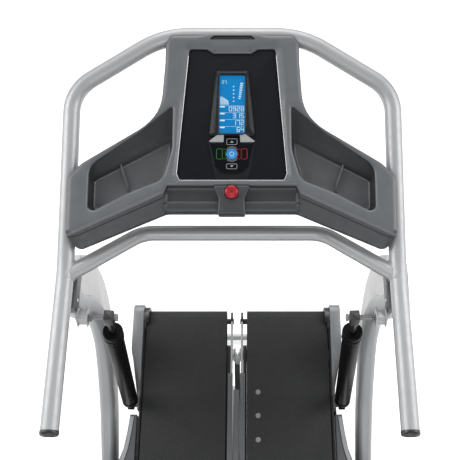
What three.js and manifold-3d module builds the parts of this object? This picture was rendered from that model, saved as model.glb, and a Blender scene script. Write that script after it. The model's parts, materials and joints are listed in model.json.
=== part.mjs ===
// Walking stair climber: two belt treadles hinged at the rear drive axle, hydraulic
// cylinders from the handrail joints to the treadles, an arched handrail loop and a console.
// Millimetres. +X is the user's right, +Y points to the console, +Z is up, floor at Z = 0.
import * as THREE from 'three';
import { mergeVertices } from 'three/addons/utils/BufferGeometryUtils.js';
import Module from 'manifold-3d';

const wasm = await Module();
wasm.setup();

// ---------------------------------------------------------------- driving dimensions
const GAP = 0.3;                      // clearance kept between touching pieces
const HALF_LENGTH = 625;              // the base reaches this far forward and back
const HALF_WIDTH = 398;               // the widest cross member

const FOOT_HEIGHT = 18;
const CROSS_TOP = 40;                 // top of the flat cross members
const RAIL_TOP = 70;                  // top of the long base rails
const RAIL_INNER = 275;
const RAIL_OUTER = 315;

const HINGE = { y: -515, z: 122 };    // drive axle, which is also the treadle hinge
const SLOPE = 20.5;                   // treadle slope at rest, degrees
const TREADLE_LENGTH = 865;           // axle to axle
const ROLLER_R = 28;
const BELT_IN = 29;                   // belt edges, measured from the middle plane
const BELT_OUT = 262;
const BELT_R = 30.5;                  // outer radius of the belt over a roller
const AXLE_R = 10;
const DRIVE_PULLEY_R = 34;

const HANDLE_X = 360;                 // side tubes of the handrail loop
const HANDLE_R = 19;
const ELBOW = { y: 10, z: 982 };      // where the loop changes slope
const HANDLE_SLOPE = 21.2;            // rear part, degrees
const LOOP_SLOPE = 34.7;              // front part, degrees
const HANDLE_END_Y = -305;
const LOOP_CORNER = { x: 360, y: 345 };
const LOOP_TOP = { x: 157, y: 451.5 };
const CROSS_BAR_R = 17.6;
const CROSS_BAR_END = [356, 1, 978.5];
const CROSS_BAR_BEND = [205, 130, 975];

const COVER_NEAR = 20;                // joint cover, distance below the handrail's axis
const COVER_FAR = 64;
const COVER_HALF = 22;
const COVER_OUTER = 25;
const COVER_REAR = -62;                // its ends, as stations y of the handrail
const COVER_FRONT = 48;

const UPPER_PIN = new THREE.Vector3(268, -54, 901);
const LOWER_PIN = new THREE.Vector3(299, 74, 327);

const CONSOLE_AT = new THREE.Vector3(0, 430, 1301);
const CONSOLE_SLOPE = 32.4;
const SHELL_DEPTH = 42;
const PANEL_DEPTH = 9;                // the instrument panel lies this far below the rim

// ---------------------------------------------------------------- materials
const paint = (color, roughness, metalness = 0) =>
  new THREE.MeshStandardMaterial({ color, roughness, metalness });
const SILVER = paint(0xc3c5c8, 0.32, 0.85);
const FRAME_GREY = paint(0x9a9c9e, 0.42, 0.6);
const BASE_BLACK = paint(0x2a2b2d, 0.5, 0.2);
const FAIRING = paint(0xdedede, 0.55);
const COVER_GREY = paint(0x6d6f71, 0.55);
const CONSOLE_GREY = paint(0x7b7e82, 0.45, 0.1);
const CONSOLE_DARK = paint(0x45474b, 0.5);
const PANEL_BLACK = paint(0x17181a, 0.6);
const GLOSS_BLACK = paint(0x08090b, 0.15);
const RUBBER = paint(0x202122, 0.9);
const BELT = paint(0x2e2f31, 0.85);
const CYLINDER_BLACK = paint(0x0d0e10, 0.35, 0.3);
const STEEL = paint(0x8d8f92, 0.3, 0.95);
const SCREEN_BLUE = paint(0x1b86d8, 0.2);
const KEY_BLUE = paint(0x1f8fd0, 0.35);
const BUTTON_RED = paint(0xc0182e, 0.3);
const DECK_BOARD = paint(0x4a3a2c, 0.7);

// ---------------------------------------------------------------- small helpers
const rad = THREE.MathUtils.degToRad;
const vec = (x, y, z) => new THREE.Vector3(x, y, z);
const slopeOf = (degrees) => Math.tan(rad(degrees));
const model = new THREE.Group();

function solidOf(geometry) {
  const bare = geometry.clone();
  bare.deleteAttribute('normal');
  bare.deleteAttribute('uv');
  const merged = mergeVertices(bare, 1e-4);
  return new wasm.Manifold(new wasm.Mesh({
    numProp: 3,
    vertProperties: new Float32Array(merged.attributes.position.array),
    triVerts: new Uint32Array(merged.index.array),
  }));
}

function geometryOf(solid) {
  const mesh = solid.getMesh();
  const geometry = new THREE.BufferGeometry();
  geometry.setAttribute('position', new THREE.BufferAttribute(mesh.vertProperties, 3));
  geometry.setIndex(new THREE.BufferAttribute(mesh.triVerts, 1));
  geometry.computeVertexNormals();
  return geometry;
}

function mirrored(geometry) {
  const twin = geometry.clone().scale(-1, 1, 1);
  const index = twin.index.array;
  for (let i = 0; i < index.length; i += 3) {
    [index[i], index[i + 1]] = [index[i + 1], index[i]];
  }
  twin.computeVertexNormals();
  return twin;
}

function add(name, solid, material, group = model) {
  const mesh = new THREE.Mesh(geometryOf(solid), material);
  mesh.name = name;
  group.add(mesh);
  return mesh;
}

// A part modelled on the right side, and its mirror image on the left.
function addPair(name, solid, material, group = model) {
  const right = add(`right_${name}`, solid, material, group);
  const left = new THREE.Mesh(mirrored(right.geometry), material);
  left.name = `left_${name}`;
  group.add(left);
}

function joined(first, ...others) {
  return others.reduce((whole, next) => whole.add(next), first);
}

function without(body, ...cutters) {
  return cutters.reduce((left, cutter) => left.subtract(cutter), body);
}

// Arc stations that round the corner b of the line a-b-c.
function corner(a, b, c, radius, stepDegrees) {
  const into = b.clone().sub(a).normalize();
  const out = c.clone().sub(b).normalize();
  const turn = into.angleTo(out);
  const cut = radius * Math.tan(turn / 2);
  const start = b.clone().addScaledVector(into, -cut);
  const side = out.clone().addScaledVector(into, -into.dot(out)).normalize();
  const steps = Math.max(2, Math.ceil(THREE.MathUtils.radToDeg(turn) / stepDegrees));
  const stations = [];
  for (let i = 0; i <= steps; i += 1) {
    const angle = (turn * i) / steps;
    stations.push(start.clone()
      .addScaledVector(into, radius * Math.sin(angle))
      .addScaledVector(side, radius * (1 - Math.cos(angle))));
  }
  return stations;
}

// An open route through corners [point, bend radius].
function route(corners, stepDegrees = 12) {
  const stations = [corners[0][0]];
  for (let i = 1; i < corners.length - 1; i += 1) {
    const [point, radius] = corners[i];
    stations.push(...corner(corners[i - 1][0], point, corners[i + 1][0], radius, stepDegrees));
  }
  stations.push(corners[corners.length - 1][0]);
  return stations;
}

// A curve that passes each station once, so that an extrusion places one ring on each.
class StationCurve extends THREE.Curve {
  constructor(stations) {
    super();
    this.stations = stations;
  }

  getPoint(t, target = new THREE.Vector3()) {
    const last = this.stations.length - 1;
    const i = Math.min(Math.floor(t * last + 1e-9), last - 1);
    return target.lerpVectors(this.stations[i], this.stations[i + 1], t * last - i);
  }

  getPointAt(t, target) {
    return this.getPoint(t, target);
  }

  getTangentAt(t, target = new THREE.Vector3()) {
    const last = this.stations.length - 1;
    const i = Math.round(t * last);
    const before = this.stations[Math.max(i - 1, 0)];
    const here = this.stations[i];
    const after = this.stations[Math.min(i + 1, last)];
    const into = i === 0 ? after.clone().sub(here) : here.clone().sub(before);
    const out = i === last ? into.clone() : after.clone().sub(here);
    return target.copy(into.normalize().add(out.normalize())).normalize();
  }
}

// Drops points that all but coincide with the one before them.
function spaced(points) {
  return points.filter(([x, y], i) => {
    const [bx, by] = points[(i + points.length - 1) % points.length];
    return Math.hypot(x - bx, y - by) > 0.2;
  });
}

function polygon(points) {
  return new THREE.Shape(spaced(points).map(([x, y]) => new THREE.Vector2(x, y)));
}

function circlePoints(radius, sides, x = 0, y = 0) {
  const points = [];
  for (let i = 0; i < sides; i += 1) {
    const angle = (2 * Math.PI * i) / sides;
    points.push([x + radius * Math.cos(angle), y + radius * Math.sin(angle)]);
  }
  return points;
}

// A closed outline with corners rounded; each entry is [x, y, radius].
function roundedOutline(entries, stepDegrees = 18) {
  const count = entries.length;
  const points = [];
  entries.forEach(([x, y, radius], i) => {
    const before = entries[(i + count - 1) % count];
    const after = entries[(i + 1) % count];
    if (!radius) {
      points.push([x, y]);
      return;
    }
    corner(vec(before[0], before[1], 0), vec(x, y, 0), vec(after[0], after[1], 0), radius, stepDegrees)
      .forEach((p) => points.push([p.x, p.y]));
  });
  return points;
}

function roundedBox(width, height, radius, stepDegrees = 30) {
  const [w, h] = [width / 2, height / 2];
  return roundedOutline([[-w, -h, radius], [w, -h, radius], [w, h, radius], [-w, h, radius]], stepDegrees);
}

// The same outline moved inward by a distance, for walls of even thickness.
function inset(points, distance) {
  const area = THREE.ShapeUtils.area(points.map(([x, y]) => new THREE.Vector2(x, y)));
  const sign = area > 0 ? 1 : -1;
  return points.map(([x, y], i) => {
    const [bx, by] = points[(i + points.length - 1) % points.length];
    const [ax, ay] = points[(i + 1) % points.length];
    const into = new THREE.Vector2(x - bx, y - by).normalize();
    const out = new THREE.Vector2(ax - x, ay - y).normalize();
    const normal = new THREE.Vector2(-into.y - out.y, into.x + out.x).normalize();
    const stretch = 1 / Math.max(0.4, normal.dot(new THREE.Vector2(-into.y, into.x)));
    return [x + normal.x * sign * distance * stretch, y + normal.y * sign * distance * stretch];
  });
}

function prism(points, depth) {
  return new THREE.ExtrudeGeometry(polygon(points), { depth, bevelEnabled: false, steps: 1 });
}

// Outline in (x, y), thickness along z.
function slabZ(points, low, high) {
  return solidOf(prism(points, high - low).translate(0, 0, low));
}

// Outline in (y, z), thickness along x.
function slabX(points, low, high) {
  const turned = new THREE.Matrix4().makeBasis(vec(0, 1, 0), vec(0, 0, 1), vec(1, 0, 0));
  return solidOf(prism(points, high - low).applyMatrix4(turned).translate(low, 0, 0));
}

// Outline in (x, z), thickness along y.
function slabY(points, low, high) {
  const turned = new THREE.Matrix4().makeBasis(vec(1, 0, 0), vec(0, 0, 1), vec(0, -1, 0));
  return solidOf(prism(points, high - low).applyMatrix4(turned).translate(0, high, 0));
}

function box(x0, x1, y0, y1, z0, z1) {
  const geometry = new THREE.BoxGeometry(x1 - x0, y1 - y0, z1 - z0);
  return solidOf(geometry.translate((x0 + x1) / 2, (y0 + y1) / 2, (z0 + z1) / 2));
}

function discX(radius, low, high, y = 0, z = 0, sides = 20) {
  return slabX(circlePoints(radius, sides, y, z), low, high);
}

function discZ(radius, low, high, x = 0, y = 0, sides = 20) {
  return slabZ(circlePoints(radius, sides, x, y), low, high);
}

function sweep(stations, section) {
  return solidOf(new THREE.ExtrudeGeometry(polygon(section), {
    steps: stations.length - 1,
    bevelEnabled: false,
    extrudePath: new StationCurve(stations),
  }));
}

// A turned piece: profile of [radius, z] from bottom to top, closed on the axis.
function turned(profile, sides = 24) {
  const lathe = new THREE.LatheGeometry(profile.map(([r, z]) => new THREE.Vector2(r, z)), sides);
  return solidOf(lathe.rotateX(Math.PI / 2));
}

// A body between two outlines of equal point count, at two heights.
function loft(lower, lowerZ, upper, upperZ) {
  const count = lower.length;
  const faces = (points) =>
    THREE.ShapeUtils.triangulateShape(points.map(([x, y]) => new THREE.Vector2(x, y)), []);
  const index = [];
  faces(lower).forEach(([a, b, c]) => index.push(a, c, b));
  faces(upper).forEach(([a, b, c]) => index.push(count + a, count + b, count + c));
  for (let i = 0; i < count; i += 1) {
    const j = (i + 1) % count;
    index.push(i, j, count + j, i, count + j, count + i);
  }
  const positions = [
    ...lower.flatMap(([x, y]) => [x, y, lowerZ]),
    ...upper.flatMap(([x, y]) => [x, y, upperZ]),
  ];
  const geometry = new THREE.BufferGeometry();
  geometry.setAttribute('position', new THREE.Float32BufferAttribute(positions, 3));
  geometry.setIndex(index);
  return solidOf(geometry);
}

// The outline turned anticlockwise, as lofts need it.
function anticlockwise(points) {
  const area = THREE.ShapeUtils.area(points.map(([x, y]) => new THREE.Vector2(x, y)));
  return area < 0 ? points.slice().reverse() : points;
}

// ---------------------------------------------------------------- handrail loop
const loopHeight = (y) => {
  const slope = y < ELBOW.y ? HANDLE_SLOPE : LOOP_SLOPE;
  return ELBOW.z + (y - ELBOW.y) * slopeOf(slope);
};
const onLoop = (x, y) => vec(x, y, loopHeight(y));

function loopStations() {
  return route([
    [onLoop(-HANDLE_X, HANDLE_END_Y), 0],
    [onLoop(-HANDLE_X, ELBOW.y), 300],
    [onLoop(-LOOP_CORNER.x, LOOP_CORNER.y), 90],
    [onLoop(-LOOP_TOP.x, LOOP_TOP.y), 200],
    [onLoop(LOOP_TOP.x, LOOP_TOP.y), 200],
    [onLoop(LOOP_CORNER.x, LOOP_CORNER.y), 90],
    [onLoop(HANDLE_X, ELBOW.y), 300],
    [onLoop(HANDLE_X, HANDLE_END_Y), 0],
  ]);
}

const loopTube = (radius) => sweep(loopStations(), circlePoints(radius, 16));

// A point a given distance below the handrail's axis, at the axis station y.
function belowLoop(y, distance) {
  const slope = Math.abs(y - ELBOW.y) < 1
    ? (HANDLE_SLOPE + LOOP_SLOPE) / 2
    : (y < ELBOW.y ? HANDLE_SLOPE : LOOP_SLOPE);
  return [y + distance * Math.sin(rad(slope)), loopHeight(y) - distance * Math.cos(rad(slope))];
}

function jointCoverSolid(grow) {
  const [rear, front] = [COVER_REAR - grow, COVER_FRONT + grow];
  const outline = [
    belowLoop(rear, COVER_NEAR - grow),
    belowLoop(rear, COVER_FAR + grow),
    belowLoop(ELBOW.y, COVER_FAR + grow),
    belowLoop(front, COVER_FAR + grow),
    belowLoop(front, COVER_NEAR - grow),
    belowLoop(ELBOW.y, COVER_NEAR - grow),
  ];
  return slabX(outline, HANDLE_X - COVER_HALF - grow, HANDLE_X + COVER_OUTER + grow);
}

function crossBarSolid() {
  const [end, bend] = [vec(...CROSS_BAR_END), vec(...CROSS_BAR_BEND)];
  const stations = route([
    [end.clone().setX(-end.x), 0],
    [bend.clone().setX(-bend.x), 75],
    [bend, 75],
    [end, 0],
  ]);
  return sweep(stations, circlePoints(CROSS_BAR_R, 16));
}

function endCapSolid() {
  const cap = turned([[0, -11], [15, -11], [19, -8], [19.6, -GAP], [0, -GAP]], 20);
  const dish = turned([[0, -13], [13.5, -13], [13.5, -10], [0, -6]], 20);
  const place = new THREE.Matrix4()
    .makeRotationX(rad(HANDLE_SLOPE - 90))
    .setPosition(onLoop(HANDLE_X, HANDLE_END_Y));
  return solidOf(geometryOf(cap.subtract(dish)).applyMatrix4(place));
}

function buildHandrail() {
  const fatLoop = loopTube(HANDLE_R + GAP);
  add('handlebar_loop', loopTube(HANDLE_R), SILVER);
  const fatCovers = jointCoverSolid(GAP).add(solidOf(mirrored(geometryOf(jointCoverSolid(GAP)))));
  add('cross_handlebar', without(crossBarSolid(), fatLoop, fatCovers), SILVER);
  addPair('end_cap', endCapSolid(), RUBBER);
  addPair('joint_cover', jointCoverSolid(0), COVER_GREY);
}

// ---------------------------------------------------------------- legs and fairings
const LEG_LINE = [
  [-215, 30], [-120, 124], [-34, 222], [35, 308], [80, 375], [120, 455], [146, 530],
  [150, 592], [140, 652], [112, 722], [74, 780], [34, 828], [-14, 912],
];

const LEG_WIDTH = 42;
const LEG_DEPTH = 58;
const LEG_CORNER = 17;

function legSolid(grow) {
  const curve = new THREE.CatmullRomCurve3(LEG_LINE.map(([y, z]) => vec(HANDLE_X, y, z)));
  const section = roundedBox(LEG_WIDTH + 2 * grow, LEG_DEPTH + 2 * grow, LEG_CORNER);
  const bar = sweep(curve.getSpacedPoints(20), section);
  const floorCut = box(HANDLE_X - 60, HANDLE_X + 60, -320, -100, -60, CROSS_TOP + GAP);
  return without(bar, floorCut);
}

const FAIRING_EDGE = [
  [100, 934], [158, 868], [196, 796], [226, 720], [241, 640], [238, 548], [214, 462],
  [172, 366], [122, 276], [62, 207], [3, 149], [-40, 112], [-62, 150], [20, 260],
  [90, 390], [140, 520], [138, 632], [98, 726], [30, 818], [-8, 872], [30, 934],
];

function fairingSolid() {
  const plate = slabX(FAIRING_EDGE, HANDLE_X - 13, HANDLE_X + 9);
  return without(plate, legSolid(GAP), jointCoverSolid(GAP));
}

function buildLegs() {
  addPair('leg', without(legSolid(0), jointCoverSolid(GAP)), FRAME_GREY);
  addPair('leg_fairing', fairingSolid(), FAIRING);
}

// ---------------------------------------------------------------- base frame
function crossMember(halfWidth, y0, y1) {
  return box(-halfWidth, halfWidth, y0, y1, FOOT_HEIGHT, CROSS_TOP);
}

function railSolid() {
  const rail = box(RAIL_INNER, RAIL_OUTER, -605, 605, CROSS_TOP + GAP, RAIL_TOP);
  const bearing = slabX(roundedOutline([
    [HINGE.y - 34, RAIL_TOP - 1, 0], [HINGE.y + 34, RAIL_TOP - 1, 0],
    [HINGE.y + 24, HINGE.z + 24, 16], [HINGE.y - 24, HINGE.z + 24, 16],
  ], 30), 301, 313);
  const bore = discX(AXLE_R + GAP, 290, 320, HINGE.y, HINGE.z);
  return without(rail.add(bearing), bore);
}

const ROCKER = { y: 262, z: 302 };    // pivot of the rocker arm that links the treadles

function centreFrameSolid() {
  const cross = crossMember(HALF_WIDTH, -235, -175);
  const beam = box(-20, 20, -200, 300, CROSS_TOP - 1, RAIL_TOP);
  const post = slabX([
    [150, RAIL_TOP - 1], [230, RAIL_TOP - 1],
    [ROCKER.y - 16, ROCKER.z + 24], [ROCKER.y - 50, ROCKER.z + 24],
  ], -8, 8);
  const pin = slabY(circlePoints(6, 16, 0, ROCKER.z), ROCKER.y - 20, ROCKER.y + 22);
  return joined(cross, beam, post, pin);
}

const WHEEL = { y: 598, z: (CROSS_TOP + FOOT_HEIGHT) / 2 };
const WHEEL_IN = 334;                 // inner face of a transport wheel
const STUD_R = 5;

// A round tube joins two foot plates, which also carry the transport wheels.
function frontStabiliserSolid() {
  const radius = (CROSS_TOP - FOOT_HEIGHT) / 2;
  const y = 526;
  const tube = discX(radius, -260, 260, y, WHEEL.z, 20);
  const side = roundedOutline([
    [y - radius, FOOT_HEIGHT, 8], [HALF_LENGTH, FOOT_HEIGHT, 8],
    [HALF_LENGTH, CROSS_TOP, 8], [y - radius, CROSS_TOP, 8],
  ], 30);
  const plates = [-330, 258].map((x) => slabX(side, x, x + 72));
  const studs = [-354, 329].map((x) => discX(STUD_R, x, x + 25, WHEEL.y, WHEEL.z, 16));
  return joined(tube, ...plates, ...studs);
}

function footSolid(x, y) {
  const top = FOOT_HEIGHT - GAP;
  const profile = [[0, 0], [24, 0], [27, 4], [25, 14], [20, top], [0, top]];
  return solidOf(geometryOf(turned(profile, 20)).translate(x, y, 0));
}

function wheelSolid() {
  const tyre = discX(23, WHEEL_IN, WHEEL_IN + 16, WHEEL.y, WHEEL.z, 24);
  return tyre.subtract(discX(STUD_R + GAP, WHEEL_IN - 4, WHEEL_IN + 18, WHEEL.y, WHEEL.z, 16));
}

function buildBase() {
  addPair('base_rail', railSolid(), BASE_BLACK);
  add('centre_frame', centreFrameSolid(), FRAME_GREY);
  add('front_stabiliser', frontStabiliserSolid(), SILVER);
  add('rear_cross_member', crossMember(330, -610, -560), BASE_BLACK);
  addPair('front_foot', footSolid(290, 592), RUBBER);
  addPair('rear_foot', footSolid(300, -585), RUBBER);
  addPair('transport_wheel', wheelSolid(), RUBBER);
}

// ---------------------------------------------------------------- treadles
const treadles = new THREE.Group();
treadles.position.set(0, HINGE.y, HINGE.z);
treadles.rotation.x = rad(SLOPE);
model.add(treadles);

const LUG_DROP = 92;                  // how far the rocker lug reaches below the axis
const LOWER_PIN_LOCAL = LOWER_PIN.clone().sub(vec(0, HINGE.y, HINGE.z))
  .applyAxisAngle(vec(1, 0, 0), rad(-SLOPE));

function stadium(radius, length) {
  const points = [];
  for (let i = 0; i <= 10; i += 1) {
    const angle = Math.PI / 2 + (Math.PI * i) / 10;
    points.push([radius * Math.cos(angle), radius * Math.sin(angle)]);
  }
  for (let i = 0; i <= 10; i += 1) {
    const angle = -Math.PI / 2 + (Math.PI * i) / 10;
    points.push([length + radius * Math.cos(angle), radius * Math.sin(angle)]);
  }
  return points;
}

function beltSolid() {
  const outer = slabX(stadium(BELT_R, TREADLE_LENGTH), BELT_IN, BELT_OUT);
  return outer.subtract(slabX(stadium(BELT_R - 2.1, TREADLE_LENGTH), BELT_IN - 5, BELT_OUT + 5));
}

function finSolid() {
  const side = roundedOutline([
    [606, -36, 14], [700, -34, 0], [TREADLE_LENGTH + 44, -30, 28], [TREADLE_LENGTH + 48, 43, 30],
    [742, 38, 40], [664, 8, 30], [606, 6, 14],
  ]);
  const plan = [[271, 600], [280, 600], [280, 690], [301, 768], [301, 920], [271, 920]];
  return slabX(side, 270, 305).intersect(slabZ(plan, -60, 60));
}

function treadleFrameSolid() {
  const inner = slabX(stadium(22, TREADLE_LENGTH), 12, 24);
  const outer = slabX(stadium(22, TREADLE_LENGTH), 265, 272);
  const bars = [110, 430, 745].map((y) => box(20, 268, y, y + 30, -18, 12));
  const lug = box(265, 272, 800, 836, -LUG_DROP, -10);
  const stud = discX(6, 280, 313, LOWER_PIN_LOCAL.y, LOWER_PIN_LOCAL.z, 16);
  const hingeBore = discX(AXLE_R + GAP, 0, 280);
  const rollerBore = discX(8 + GAP, 0, 280, TREADLE_LENGTH, 0);
  const body = joined(inner, outer, finSolid(), lug, stud, ...bars);
  return without(body, hingeBore, rollerBore);
}

function frontRollerSolid() {
  const drum = discX(ROLLER_R, BELT_IN + 2, BELT_OUT - 2, TREADLE_LENGTH, 0, 24);
  return drum.add(discX(8, 9, 270, TREADLE_LENGTH, 0, 16));
}

function driveAxleSolid() {
  const shaft = discX(AXLE_R, -318, 318, 0, 0, 20);
  const right = discX(ROLLER_R, BELT_IN + 2, BELT_OUT - 2, 0, 0, 24);
  const left = discX(ROLLER_R, 2 - BELT_OUT, -2 - BELT_IN, 0, 0, 24);
  const pulley = discX(DRIVE_PULLEY_R, -298, -282, 0, 0, 32);
  return joined(shaft, right, left, pulley);
}

function buildTreadles() {
  addPair('treadle_frame', treadleFrameSolid(), COVER_GREY, treadles);
  addPair('deck', box(34, 258, 62, 812, 15, 27.8), DECK_BOARD, treadles);
  addPair('walking_belt', beltSolid(), BELT, treadles);
  addPair('front_roller', frontRollerSolid(), STEEL, treadles);
  add('drive_axle', driveAxleSolid(), STEEL, treadles);
}

// ---------------------------------------------------------------- rocker, motor and drive
function rockerSolid() {
  const arm = discX(11, -282, 282, ROCKER.y, ROCKER.z, 16);
  const hub = slabY(circlePoints(19, 20, 0, ROCKER.z), ROCKER.y - 13, ROCKER.y + 13);
  const bore = slabY(circlePoints(6 + GAP, 16, 0, ROCKER.z), ROCKER.y - 30, ROCKER.y + 30);
  return without(arm.add(hub), bore);
}

const MOTOR = { y: -232, z: 116, r: 42 };
const PULLEY_R = 16;

function motorSolid() {
  const can = discX(MOTOR.r, -236, -70, MOTOR.y, MOTOR.z, 28);
  const shaft = discX(6, -300, -230, MOTOR.y, MOTOR.z, 16);
  const mount = box(-220, -90, MOTOR.y - 30, MOTOR.y + 50, CROSS_TOP + GAP, MOTOR.z - 20);
  return joined(can, shaft, mount);
}

function motorPulleySolid() {
  const drum = discX(PULLEY_R, -298, -282, MOTOR.y, MOTOR.z, 20);
  return drum.subtract(discX(6 + GAP, -310, -270, MOTOR.y, MOTOR.z, 16));
}

// Outline of a belt around two pulleys; grow is its distance from their rims.
function beltOutline(big, small, grow) {
  const [dy, dz] = [small.y - big.y, small.z - big.z];
  const heading = Math.atan2(dz, dy);
  const lean = Math.acos((big.r - small.r) / Math.hypot(dy, dz));
  const arc = (c, from, to) => Array.from({ length: 15 }, (_, i) => {
    const angle = heading + from + ((to - from) * i) / 14;
    return [c.y + (c.r + grow) * Math.cos(angle), c.z + (c.r + grow) * Math.sin(angle)];
  });
  return [...arc(small, -lean, lean), ...arc(big, lean, 2 * Math.PI - lean)];
}

function driveBeltSolid() {
  const big = { y: HINGE.y, z: HINGE.z, r: DRIVE_PULLEY_R };
  const small = { y: MOTOR.y, z: MOTOR.z, r: PULLEY_R };
  const outer = slabX(beltOutline(big, small, 3.2), -297, -283);
  return outer.subtract(slabX(beltOutline(big, small, 0.6), -300, -280));
}

function buildDrive() {
  add('rocker_arm', rockerSolid(), STEEL);
  add('motor', motorSolid(), STEEL);
  add('motor_pulley', motorPulleySolid(), STEEL);
  add('drive_belt', driveBeltSolid(), RUBBER);
}

// ---------------------------------------------------------------- lower covers
const treadleLine = (y, height) =>
  HINGE.z + height / Math.cos(rad(SLOPE)) + (y - HINGE.y) * slopeOf(SLOPE);
const aroundHinge = (radius, degrees) =>
  [HINGE.y + radius * Math.cos(rad(degrees)), HINGE.z + radius * Math.sin(rad(degrees))];

const PLATFORM_PLAN = [
  [276, -612], [368, -612], [385, -595], [385, -215], [372, -178], [344, -132],
  [320, -98], [306, -60], [299, -20], [294, 20], [293, 60], [276, 60],
];
const PLATFORM_SIDE = [
  [-612, 44], [-160, 44], [-90, 74], [-20, 150], aroundHinge(588, 11.5), aroundHinge(590, 16),
  aroundHinge(590, 20), aroundHinge(590, 23.4), [-470, treadleLine(-470, 34)],
  [-530, 164], [-590, 158], [-612, 140],
];

function platformSolid() {
  const outer = slabX(PLATFORM_SIDE, 270, 390).intersect(slabZ(PLATFORM_PLAN, 0, 500));
  const hollowSide = inset(PLATFORM_SIDE, 4).map(([y, z]) => [y, z < 50 ? z - 20 : z]);
  const hollow = slabX(hollowSide, 260, 400).intersect(slabZ(inset(PLATFORM_PLAN, 4), -20, 500));
  const legHole = legSolid(2.5);
  const axleHole = discX(AXLE_R + 3, 270, 290, HINGE.y, HINGE.z);
  const railHole = box(RAIL_INNER - 10, RAIL_OUTER + 3, -640, 120, 0, RAIL_TOP + 1);
  return without(outer, hollow, legHole, axleHole, railHole);
}

function leftMotorShaftHole() {
  return discX(9, -290, -265, MOTOR.y, MOTOR.z, 16);
}

function rearCoverSolid() {
  const side = roundedOutline([
    [-552, 43, 0], [-552, 142, 12], [-600, 136, 26], [-HALF_LENGTH, 96, 30], [-HALF_LENGTH, 43, 0],
  ]);
  const outer = slabX(side, -273, 273);
  const hollow = slabX(inset(side, 4).map(([y, z]) => [y, z < 50 ? z - 20 : z]), -269, 269);
  return without(outer, hollow, box(-226, -154, -640, -600, 56, 92));
}

function centreCoverSolid() {
  const top = (y) => treadleLine(y, 29);
  const outline = [
    [-470, top(-470)], [-470, 100], [-300, 100], [-60, 150], [70, 250], [95, 300], [92, top(92)],
  ];
  return slabX(outline, -8.5, 8.5);
}

function buildCovers() {
  const platform = platformSolid();
  add('right_foot_platform', platform, COVER_GREY);
  const twin = solidOf(mirrored(geometryOf(platform)));
  add('left_foot_platform', twin.subtract(leftMotorShaftHole()), COVER_GREY);
  add('rear_cover', rearCoverSolid(), COVER_GREY);
  add('centre_cover', centreCoverSolid(), COVER_GREY);
  const inlet = box(-225.7, -154.3, -620, -601, 56.3, 91.7);
  const socket = box(-221, -190, -640, -606, 62, 86);
  const well = box(-184, -158, -640, -607, 62, 86);
  add('power_inlet', without(inlet, socket, well), PANEL_BLACK);
  const rocker = slabX([[-622, 66], [-619, 74], [-622, 82], [-611, 82], [-611, 66]], -182, -160);
  add('power_switch', rocker, BUTTON_RED);
}

// ---------------------------------------------------------------- hydraulic cylinders
const cylinderAxis = LOWER_PIN.clone().sub(UPPER_PIN).normalize();
const cylinderLength = LOWER_PIN.distanceTo(UPPER_PIN);
const cylinderPlace = new THREE.Matrix4()
  .makeRotationFromQuaternion(new THREE.Quaternion().setFromUnitVectors(vec(0, 0, -1), cylinderAxis))
  .setPosition(UPPER_PIN);
const inCylinder = (solid) => solidOf(geometryOf(solid).applyMatrix4(cylinderPlace));

function rodSolid() {
  const eye = box(-11, 11, -12, 12, -18, 13);
  const boss = discZ(11, -27, -17);
  const rod = discZ(7, -310, -20);
  return joined(eye, boss, rod);
}

function dialSolid() {
  const ring = turned([
    [0, -110], [21, -110], [23.5, -107], [23.5, -92], [21.5, -90], [21.5, -86],
    [23.5, -84], [23.5, -75], [20, -72], [0, -72],
  ], 24);
  return ring.subtract(discZ(9, -120, -60));
}

function barrelSolid() {
  const low = -cylinderLength;
  const tube = turned([[0, low + 22], [12, low + 22], [17, low + 30], [21.5, low + 40],
    [21.5, -118], [19, -110 - GAP], [0, -110 - GAP]], 24);
  const eye = slabX(circlePoints(13, 20, 0, low), -9, 9);
  const neck = discZ(9, low + 5, low + 30);
  const bore = discZ(7.6, -390, -60);
  const eyeBore = slabX(circlePoints(9, 16, 0, low), -20, 20);
  return without(joined(tube, eye, neck), bore, eyeBore);
}

function shockBracketSolid() {
  const square = (half, x0, x1) => box(x0, x1, UPPER_PIN.y - half, UPPER_PIN.y + half,
    UPPER_PIN.z - half, UPPER_PIN.z + half);
  const inner = HANDLE_X - COVER_HALF - GAP;
  const pin = discX(6, 252, 320, UPPER_PIN.y, UPPER_PIN.z, 16);
  const head = discX(9, 249, 255, UPPER_PIN.y, UPPER_PIN.z, 6);
  return joined(square(12, 314, inner), square(15, 313, 317), square(15, inner - 4, inner), pin, head);
}

function buildCylinders() {
  const pinHole = discX(6 + GAP, 240, 300, UPPER_PIN.y, UPPER_PIN.z, 16);
  addPair('shock_bracket', shockBracketSolid(), SILVER);
  addPair('cylinder_rod', inCylinder(rodSolid()).subtract(pinHole), CYLINDER_BLACK);
  addPair('resistance_dial', inCylinder(dialSolid()), CYLINDER_BLACK);
  addPair('cylinder_barrel', inCylinder(barrelSolid()), CYLINDER_BLACK);
}

// ---------------------------------------------------------------- console
const consoleGroup = new THREE.Group();
consoleGroup.position.copy(CONSOLE_AT);
consoleGroup.rotation.x = rad(CONSOLE_SLOPE);
consoleGroup.updateMatrixWorld(true);
model.add(consoleGroup);

// Outlines in the console's own plane: x across, y up the slope, 0 at the top edge.
const symmetric = (half) => {
  const other = half.filter(([x]) => x > 0).reverse().map(([x, y, r]) => [-x, y, r]);
  return [...half, ...other];
};

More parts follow.
